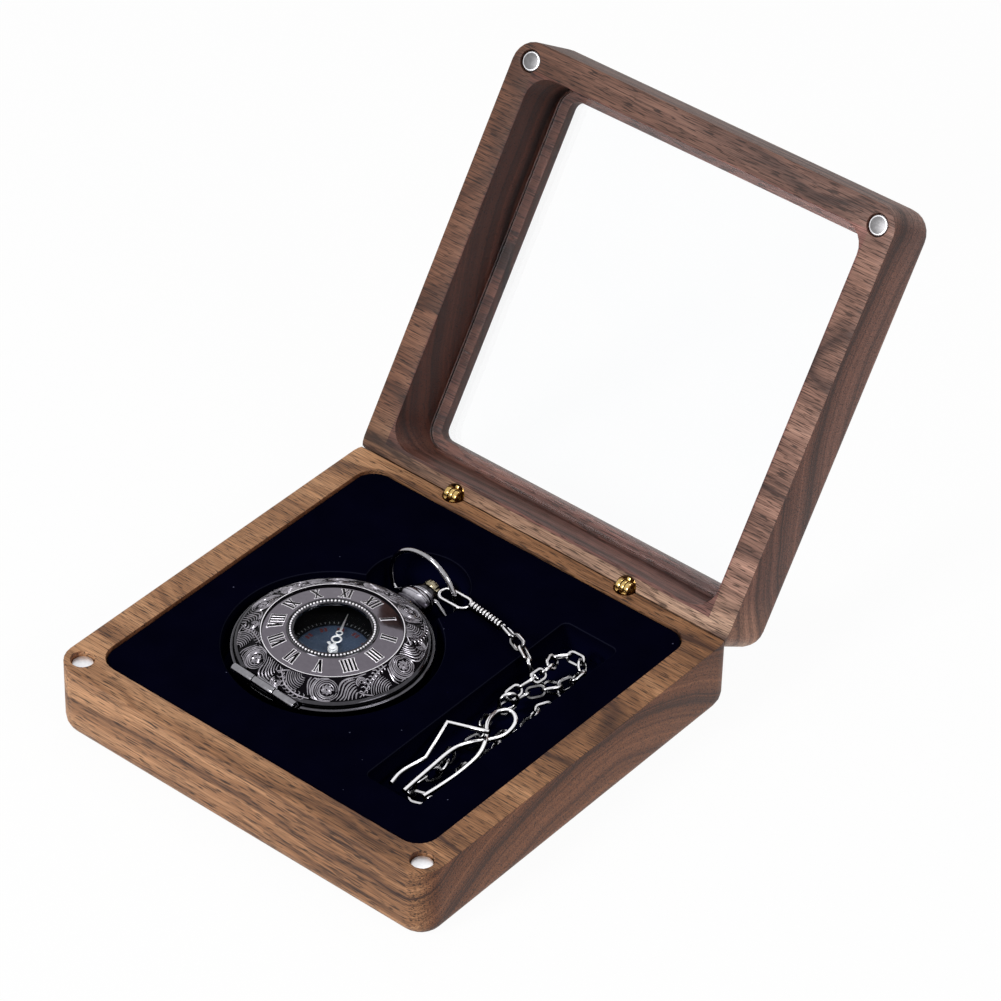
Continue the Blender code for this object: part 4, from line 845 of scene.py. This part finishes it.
def cover_pieces():
    """The half-hunter cover: its shell with fine steps, blacked bands, scrolls, numerals and beads; at the
    numeral ring's step a painted highlight on top and painted shade on the wall.
    """
    # Steps outwards from a radius, with their heights, in mm
    steps = (
        (COVER_RIM,
         ((-0.7, 9.5), (-0.1, 9.5), (0, 9.6), (0, 10.2), (-0.1, 10.4), (-0.4, 10.62), (-0.7, 10.72),
          (-0.9, 10.64), (-1.0, 10.55))),
        (NUMERAL_OUTER,
         ((0.7, 12.98), (0.5, 13.3), (0.2, 13.52), (0, 13.52), (-0.2, 1000 * FIELD_OUTER_TOP))),
        (NUMERAL_INNER,
         ((0, 1000 * FIELD_INNER_TOP), (-0.1, 14.15), (-0.3, 14.28), (-0.5, 14.15), (-0.6, 13.92))),
        (WINDOW_RADIUS,
         ((0.5, 13.92), (0.4, 14.2), (0.2, 14.3), (0, 14.1), (0, 13.3), (1.2, 13.3), (1.2, 12.4))),
        (NUMERAL_OUTER, ((0, 12.6),)),
        (COVER_RIM, ((-0.7, 9.8),)),
    )
    profile = [(radius + out * 0.001, top * 0.001) for radius, points in steps for out, top in points]
    shell = turned("cover_shell", profile, 160)
    for side in (-1, 1):
        low, high = sorted((side * 0.0029, side * 0.0105))
        cut(shell, block("hinge_notch", (low, -0.03, 0.0), (high, -0.0206, 0.03)))
    watch_piece(shell, 28, "cover", GUNMETAL, "watch_cover")
    for material in (BLACKED, NUMERAL_FIELD, HIGHLIGHT_SILVER):
        shell.data.materials.append(material)
    # How far up a face has to point, its radius from and to, and its material
    bands = (
        (0.5, NUMERAL_OUTER + 0.0006, COVER_RIM - 0.0009, 1),
        (0.5, NUMERAL_INNER, NUMERAL_OUTER - 0.0001, 2),
        (0.5, WINDOW_RADIUS + 0.0005, NUMERAL_INNER - 0.0006, 1),
        # The numeral ring's step: a bright line on its top as painted highlight, and its wall painted black
        # as painted shade
        (0.8, NUMERAL_OUTER, NUMERAL_OUTER + 0.0003, 3),
        (-2.0, NUMERAL_OUTER - 0.0002, NUMERAL_OUTER + 0.0008, 1),
    )
    centre = in_watch((0, 0, 0))
    for face in shell.data.polygons:
        radius = (face.center - centre).xy.length
        for facing, inner, outer, index in bands:
            if face.normal.z > facing and inner < radius < outer:
                face.material_index = index
                break
    # Numeral outlines and beads in bright silver are painted highlights; the numerals' black tops are
    # painted dark reflection
    trims = (
        (scroll_relief(), RELIEF, 50),
        (numerals("cover_numeral_highlight_outlines", 0.15, 0.00008), HIGHLIGHT_SILVER, 30),
        (numerals("cover_numerals", 0.0, 0.00016), NUMERAL, 30),
        (beads(), HIGHLIGHT_SILVER, 60),
    )
    for obj, material, angle in trims:
        watch_piece(obj, angle, "cover", material)
    # The cover's middle knuckle in the paler steel, a painted highlight
    knuckle = eased("watch_cover", "cover", "gunmetal", HINGE_HIGHLIGHT_STEEL, 0.00008, name="cover_hinge_knuckle")
    keep_near_hinge(knuckle)
    eased("cover_window", "cover", "glass", CRYSTAL, 0.0001)


def keep_near_hinge(obj):
    """Only the middle knuckle of the cover's solid, beyond the shell's rim."""
    edit_all(obj)
    turn = Matrix.Rotation(WATCH_TURN, 3, "Z")
    for place, side in (((0, -0.0209, 0), (0, 1, 0)), ((-0.0033, 0, 0), (-1, 0, 0)),
                        ((0.0033, 0, 0), (1, 0, 0))):
        bpy.ops.mesh.select_all(action="SELECT")
        bpy.ops.mesh.bisect(plane_co=in_watch(place), plane_no=turn @ Vector(side), clear_outer=True,
                            use_fill=True)
    editing("OBJECT")


def marks_round(name, places, half, inner, outer):
    """Bars round the dial, each at an angle in degrees and so far beside its radius."""
    bars = []
    for angle, aside in places:
        bar = block("mark", (aside - half, inner, DIAL_TOP - 0.00002),
                    (aside + half, outer, DIAL_TOP + 0.00003))
        bar.matrix_world = Matrix.Rotation(-math.radians(angle), 4, "Z") @ bar.matrix_world
        bars.append(settle(bar))
    return joined(name, bars)


def dial_marks():
    """Printed marks on the dial: white minute ticks, and red double bars at the hours."""
    pairs = [(30 * hour, side * 0.00048) for hour in range(12) for side in (-1, 1)]
    red = marks_round("dial_red_marks", pairs, 0.00032, 0.0067, 0.0079)
    minutes = [(6 * minute, 0.0) for minute in range(60)]
    white = marks_round("dial_minute_marks", minutes, 0.0001, 0.0092, 0.0098)
    for obj, material in ((red, RED), (white, WHITE_PRINT)):
        fit(obj, "BEVEL", "eased edges", width=0.00001, segments=1, limit_method="ANGLE")
        placed(into_watch(obj), "watch", "dial", material)


def pierced_hand(body, length, angle, height):
    """A fretted hand: hub, a large and a small open ring, a slim point and a tail, pressed flat."""
    rings = []
    for middle, radius, wire in ((0.0, 0.00075, 0.00042), (0.25 * length, 0.00105, 0.00024),
                                 (0.43 * length, 0.00068, 0.0002)):
        bpy.ops.mesh.primitive_torus_add(location=(0, middle, 0), major_radius=radius, minor_radius=wire,
                                         major_segments=28, minor_segments=8)
        rings.append(settle(bpy.context.object))
    blade = [Vector((0, y * length, 0)) for y in (0.49, 0.56, 0.66, 0.80, 1.0)]
    rings.append(tube("blade", blade, 1.0, 8, radii=[0.00020, 0.00034, 0.00024, 0.00018, 0.00009]))
    stem = [Vector((0, y, 0)) for y in (-HAND_TAIL, -0.0018, 0.0, 0.25 * length - 0.0010)]
    rings.append(tube("stem", stem, 1.0, 8, radii=[0.00046, 0.00028, 0.0006, 0.00026]))
    bpy.ops.mesh.primitive_cylinder_add(vertices=24, radius=HUB_RADIUS, depth=HUB_DEPTH,
                                        location=(0, 0, HUB_RISE))
    rings.append(fit(settle(bpy.context.object), "BEVEL", "eased edges", width=0.0002, segments=2,
                     limit_method="ANGLE"))
    hand = joined(body + "_fretted", rings)
    pressed = Matrix.Diagonal((1.0, 1.0, 0.25, 1.0))
    hand.matrix_world = Matrix.Translation((0, 0, height)) @ Matrix.Rotation(-angle, 4, "Z") @ pressed
    watch_piece(settle(hand), 50, body, SILVER, body, slot="silver")


def case_lip():
    """The rounded rim that stands proud round the cover, open at the hinge."""
    middle, height, radius = LIP_RADIUS, LIP_TOP, LIP_WIRE
    points = [(middle + radius * math.cos(math.radians(30 * n)),
               height + radius * math.sin(math.radians(30 * n))) for n in range(12)]
    lip = turned("case_lip", points, 160)
    cut(lip, block("lip_notch", (-0.0100, -0.03, 0.0), (0.0100, -0.0195, 0.03)))
    watch_piece(lip, 50, "watch", RIM_STEEL)


def bow_wire():
    """The bow: round wire, bent into a ring whose ends turn in to the sleeve's sides."""
    knee = BOW_RADIUS * math.cos(BOW_LEG)
    low = BOW_RISE - BOW_RADIUS * math.sin(BOW_LEG)
    side = [(0.0027, 0, 0), (0.0040, 0, 0), (knee * 0.62, 0, low * 0.6), (knee * 0.80, 0, low * 1.2),
            (knee * 0.92, 0, low * 1.25)]
    ring = []
    steps = 40
    for step in range(steps + 1):
        angle = -BOW_LEG + (math.pi + 2 * BOW_LEG) * step / steps
        ring.append(Vector((BOW_RADIUS * math.cos(angle), 0, BOW_RISE + BOW_RADIUS * math.sin(angle))))
    right = smooth_route([Vector(p) for p in side] + [ring[0]], 6)[:-1]
    left = [Vector((-p.x, 0, p.z)) for p in reversed(right)]
    rise = Vector((0, BOW_PIVOT_Y, PENDANT_Z))
    wire = tube("bow_wire", [p + rise for p in right + ring + left], BOW_WIRE, 16)
    watch_piece(wire, 60, "bow", BOW_STEEL, "bow")


def pendant_dome():
    """The pendant's oval onion shape: a flange, a groove, the dome and two fine rims under the sleeve."""
    dome = turned("pendant_dome", [
        (0.0, 0.0235), (0.0030, 0.0235), (0.0034, 0.0243), (0.0043, 0.0247), (0.0046, 0.025),
        (0.0043, 0.0254), (0.0039, 0.0256), (0.0044, 0.026), (0.0048, 0.0266), (0.00495, 0.0273),
        (0.0048, 0.028), (0.0044, 0.0287), (0.0038, 0.0292), (0.0039, 0.02945), (0.0038, 0.0297),
        (0.00355, 0.0298), (0.0036, 0.03), (0.0035, 0.0302), (0.0032, 0.0303), (0.0, 0.0303)], 48)
    upright = Matrix.Rotation(-math.pi / 2, 4, "X") @ Matrix.Diagonal((1.0, 0.62, 1.0, 1.0))
    dome.matrix_world = Matrix.Translation((0, 0, PENDANT_Z)) @ upright
    settle(dome)
    watch_piece(outwards(dome), 45, "watch", PENDANT_STEEL)


def watch_pieces():
    """Case, crystal, dial, hands, crown and bow."""
    pendant_dome()
    case_lip()
    case = eased("watch_case_middle", "watch", "gunmetal", GUNMETAL, 0.00012, 3)
    # The hinge block's faces take the paler steel, a painted highlight
    case.data.materials.append(HINGE_HIGHLIGHT_STEEL)
    back_turn = Matrix.Rotation(-WATCH_TURN, 3, "Z")
    for face in case.data.polygons:
        local = back_turn @ (face.center - WATCH_PLACE)
        if local.y < -HINGE_REACH and abs(local.x) < HINGE_HALF and local.z > HINGE_LOW:
            face.material_index = 1
    eased("watch_case_back", "watch", "gunmetal", GUNMETAL, 0.0001)
    eased("watch_bezel", "watch", "gunmetal", GUNMETAL, 0.00008)
    eased("watch_crystal", "watch", "glass", CRYSTAL, 0.0001)
    eased("watch_movement", "watch", "brass", BRASS, 0.00005)
    eased("watch_dial", "watch", "dial", DIAL, 0.00005)
    eased("cover_hinge_pin", "watch", "gunmetal", GUNMETAL, 0.00005)
    eased("winding_stem", "stem", "magnet_steel", NICKEL, 0.00005)
    eased("crown", "crown", "gunmetal", CROWN_METAL, 0.00010)
    pierced_hand("hour_hand", HOUR_HAND_LENGTH, HOUR_HAND_ANGLE, HOUR_HAND_Z)
    pierced_hand("minute_hand", MINUTE_HAND_LENGTH, MINUTE_HAND_ANGLE, MINUTE_HAND_Z)
    dial_marks()
    bow_wire()


def clasp_rest():
    """The middle of the clasp's loop, which is round the bow's leg, and its rod's end."""
    leg = in_watch((BOW_RADIUS, BOW_PIVOT_Y, 0))
    middle = Vector((leg.x, leg.y - 0.0005, VELVET_TOP + 0.0008))
    return middle, middle + Vector((0.00462, 0, 0.0008))


def chained(obj, node):
    """A piece of the chain, finished."""
    placed(smooth(obj, 60), "watch", "gunmetal", CHAIN_STEEL, node)


def chain_clasp_loop():
    """The clasp: an oblong wire loop round the bow's leg, with a short rod to the spring."""
    middle, rod_end = clasp_rest()
    points = []
    for centre, start in ((0.0022, -math.pi / 2), (-0.0022, math.pi / 2)):
        for step in range(13):
            angle = start + math.pi * step / 12
            points.append(middle + Vector((centre + 0.0020 * math.cos(angle), 0.0020 * math.sin(angle), 0)))
    loop = tube("clasp_loop", points, 0.00045, 12, closed=True)
    rod = tube("clasp_rod", [middle + Vector((0.0042, 0, 0)), rod_end, rod_end + Vector((0.0005, 0, 0))],
               0.0005, 12)
    chained(joined("clasp_loop", [loop, rod]), "chain_clasp")


def spring_coil():
    """The close-wound spring section: one wire wound into touching turns."""
    _, start = clasp_rest()
    heading = Matrix.Rotation(SPRING_TURN, 3, "Z")
    turns, wire, radius, length = SPRING_TURNS, SPRING_WIRE, SPRING_RADIUS, SPRING_LENGTH
    points = []
    steps = 14 * turns
    for step in range(steps + 1):
        angle = 2 * math.pi * turns * step / steps
        run = 0.0005 + length * step / steps
        points.append(start + heading @ Vector((run, radius * math.cos(angle), radius * math.sin(angle))))
    coil = tube("spring_coil", points, wire, 8)
    core = tube("spring_core", [start + heading @ Vector((0.0003, 0, 0)),
                                start + heading @ Vector((length + 0.0009, 0, 0))],
                0.0004, 12)
    chained(joined("spring_coil", [coil, core]), "chain_spring")


def chain_joints():
    """The chain's joints, one link's pitch apart along its route."""
    _, start = clasp_rest()
    reach = 0.01 + LINK_WIRE + 0.0012
    first = start + Vector((reach * math.cos(SPRING_TURN), reach * math.sin(SPRING_TURN), 0.0003))
    lane = LINK_WIDTH / 2 + 0.0003
    over = VELVET_TOP + lane
    left, right = TRAY[0] + lane + 0.0003, TRAY[1] - lane - 0.0003
    front, low = TRAY[2] + lane, TRAY_FLOOR + lane
    high = low + LINK_WIDTH + 0.0003
    y = first.y
    route = [
        first, (TRAY[0] - 0.0024, y - 0.0019, over), (TRAY[0] + 0.0022, y - 0.0037, over - 0.0006),
        (left + 0.0018, y - 0.0047, over - 0.0034), (left + 0.0050, y - 0.0036, low + 0.0010),
        (right - 0.0020, y - 0.0006, low), (right, y - 0.0050, low), (right - 0.0024, y - 0.0105, low),
        (right - 0.0002, y - 0.0165, low), (right - 0.0028, y - 0.0225, low),
        (right - 0.0002, y - 0.0290, low), (right - 0.0020, y - 0.0360, low),
        (right, front + 0.0110, low), (right - 0.0018, front + 0.0056, low),
        (left + 0.0050, front + 0.0046, low), (left + 0.0034, front + 0.0090, low),
        (left + 0.0052, front + 0.0150, low), (left + 0.0028, front + 0.0215, low),
        (left + 0.0048, front + 0.0280, low), (left + 0.0018, front + 0.0340, low),
        (left + 0.0024, front + 0.0400, low), (left + 0.0044, front + 0.0450, low + 0.0022),
        (right - 0.0030, front + 0.0480, high), (right - 0.0004, front + 0.0525, high),
        (right - 0.0008, front + 0.0590, high), (right - 0.0046, front + 0.0616, high),
        (left + 0.0024, front + 0.0585, high), (left + 0.0040, front + 0.0540, high + 0.0006),
        (left + 0.0050, front + 0.0480, high + LINK_WIDTH * 0.6), (left + 0.0030, front + 0.0430, high),
        (left + 0.0032, front + 0.0392, high),
    ]
    points = smooth_route(route, 12)
    joints = [points[0].copy()]
    for a, b in zip(points, points[1:]):
        while (b - joints[-1]).length >= LINK_PITCH:
            span, offset = b - a, a - joints[-1]
            dot = offset.dot(span) / span.dot(span)
            root = math.sqrt(max(0.0, dot * dot - (offset.dot(offset) - LINK_PITCH**2) / span.dot(span)))
            joints.append(a + span * min(1.0, -dot + root))
            a = joints[-1]
            if (b - a).length < 1e-9:
                break
    return joints


def chain_links():
    """Interlocked oval links: one link of wire, copied along the route, each turned a quarter."""
    turn = LINK_WIDTH / 2 - LINK_WIRE
    half = LINK_PITCH / 2 + LINK_WIRE * 0.8
    points = []
    for centre, begin in ((half - turn, -math.pi / 2), (turn - half, math.pi / 2)):
        for step in range(8):
            angle = begin + math.pi * step / 7
            points.append(Vector((centre + turn * math.cos(angle), turn * math.sin(angle), 0)))
    first = tube("link", points, LINK_WIRE, 8, closed=True)
    joints = chain_joints()
    links = []
    for number, (start, end) in enumerate(zip(joints, joints[1:])):
        forward = (end - start).normalized()
        guide = Vector((0, 0, 1)) if abs(forward.z) < 0.8 else Vector((0, 1, 0))
        flat = forward.cross(guide).normalized()
        up = flat.cross(forward)
        lean = LINK_LEAN if number % 2 == 0 else LINK_LEAN + math.pi / 2
        across = math.cos(lean) * flat + math.sin(lean) * up
        normal = forward.cross(across)
        turned_to = Matrix((forward, across, normal)).transposed().to_4x4()
        links.append(copied(first, Matrix.Translation((start + end) / 2) @ turned_to))
    bpy.data.objects.remove(first)
    chained(settle(joined("chain_links", links)), "watch_chain")


def clip_pieces():
    """The bent-wire clip, its bar and the jump ring, over the chain in the tray."""
    low = TRAY_FLOOR + LINK_WIDTH + 0.0009 + CLIP_WIRE
    over = low + 2 * CLIP_WIRE + 0.0006
    top = over + 2 * CLIP_WIRE + 0.0006
    front, left = TRAY[2] + 0.0040, TRAY[0]
    jaws = [
        (0.0078, 0.0, low), (0.0073, 0.0087, low), (0.0070, 0.0172, low), (0.0084, 0.0217, low),
        (0.0110, 0.0252, low), (0.0128, 0.0290, low + 0.0002), (0.0118, 0.0335, low + 0.0004),
        (0.0090, 0.0352, low + 0.0007), (0.0070, 0.0328, low + 0.0010), (0.0082, 0.0280, over - 0.0002),
        (0.0116, 0.0234, over), (0.0134, 0.0187, over - 0.0006), (0.0134, 0.0127, low + 0.0004),
        (0.0128, 0.0067, low), (0.0122, 0.0014, low),
    ]
    bend = smooth_route([(left + x, front + y, z) for x, y, z in jaws], 8)
    chained(tube("clip_wire", bend, CLIP_WIRE, 12), "belt_clip")
    hook = smooth_route([(left + 0.0040, front, low), (left + 0.0033, front + 0.0045, low),
                         (left + 0.0046, front + 0.0110, low + 0.0004)], 6)
    bar = hook + [Vector((left + 0.0015, front + 0.0221, over)),
                  Vector((left + 0.0120, front + 0.0241, top))]
    chained(tube("clip_bar", bar, CLIP_WIRE, 12), "belt_clip_bar")
    middle = Vector((left + 0.0066, front + 0.0372, TRAY_FLOOR + 1.75 * LINK_WIDTH))
    ring = []
    for number in range(28):
        angle = 2 * math.pi * number / 28
        ring.append(middle + 0.0022 * Vector((0.5 * math.cos(angle), 0.87 * math.cos(angle),
                                              math.sin(angle))))
    chained(tube("jump_ring_wire", ring, LINK_WIRE, 10, closed=True), "jump_ring")


def chain_pieces():
    """Clasp, spring, links, ring and clip."""
    chain_clasp_loop()
    spring_coil()
    chain_links()
    clip_pieces()


def straight_view(tree):
    """1 for the camera's own rays, mirrored ones and those through glass, 0 for the light they carry on."""
    path = add(tree, "LightPath")
    seen = path.outputs["Is Camera Ray"]
    for kind in ("Is Glossy Ray", "Is Transmission Ray"):
        seen = sums(tree, "MAXIMUM", seen, path.outputs[kind])
    return seen


def studio():
    """White world, pale floor, soft lamps and the camera at the photograph's place."""
    world = bpy.data.worlds.new("white studio")
    bpy.context.scene.world = world
    world.use_nodes = True
    tree = world.node_tree
    tree.nodes.clear()
    level = add(tree, "MapRange", {0: straight_view(tree), 3: WORLD_LEVEL, 4: 1.0})
    light = add(tree, "Background", {"Color": WHITE, "Strength": level})
    add(tree, "OutputWorld", {"Surface": light})
    bpy.ops.mesh.primitive_plane_add(size=3.0, location=(0, 0, 0))
    floor = bpy.context.object
    floor.name = "studio_floor"
    pick(floor)
    editing("EDIT")
    bpy.ops.mesh.subdivide(number_cuts=2)
    editing("OBJECT")
    paper, sheet = finish("white paper sweep")
    grain = noise(sheet, add(sheet, "TexCoord").outputs["Object"], 400.0)
    tone = blend(sheet, grain, colour("#f4f4f4"), colour("#ffffff"))
    matt = add(sheet, "BsdfDiffuse", {"Color": tone})
    glow = add(sheet, "Emission", {"Strength": 1.0})
    share = sums(sheet, "MULTIPLY", straight_view(sheet), FLOOR_SHARE)
    both = add(sheet, "MixShader", {0: share, 1: matt, 2: glow})
    output(paper, both)
    floor.data.materials.append(paper)
    lamps = (
        ("key", (-0.18, -1.06, 0.72), (0.35, 0.35), 10.0),
        ("strip", (0.85, -0.02, 0.72), (0.50, 0.22), 2.4),
        ("top", (-0.15, 0.45, 1.15), (0.25, 0.25), 1.2),
    )
    for name, place, size, power in lamps:
        lamp = bpy.data.lights.new(name, "AREA")
        lamp.shape = "RECTANGLE"
        lamp.size, lamp.size_y = size
        lamp.energy = power
        holder = shown(bpy.data.objects.new(name, lamp))
        holder.location = place
        holder.rotation_euler = (Vector((0, 0, 0.03)) - Vector(place)).to_track_quat("-Z", "Y").to_euler()
    lens = bpy.data.cameras.new("photo camera")
    lens.sensor_width = SENSOR_WIDTH
    lens.lens = FOCAL_PIXELS * SENSOR_WIDTH / PHOTO_SIZE
    lens.clip_start = 0.05
    camera = shown(bpy.data.objects.new("photo_camera", lens))
    turn = Matrix((CAMERA_RIGHT, CAMERA_UP, CAMERA_BACK)).transposed().to_4x4()
    camera.matrix_world = Matrix.Translation(CAMERA_PLACE) @ turn
    bpy.context.scene.camera = camera
    bpy.context.scene.view_settings.view_transform = "Standard"


def build():
    """Every piece, then the studio."""
    velvet_insert()
    box_pieces()
    cover_pieces()
    watch_pieces()
    chain_pieces()
    studio()


build()
deselect()
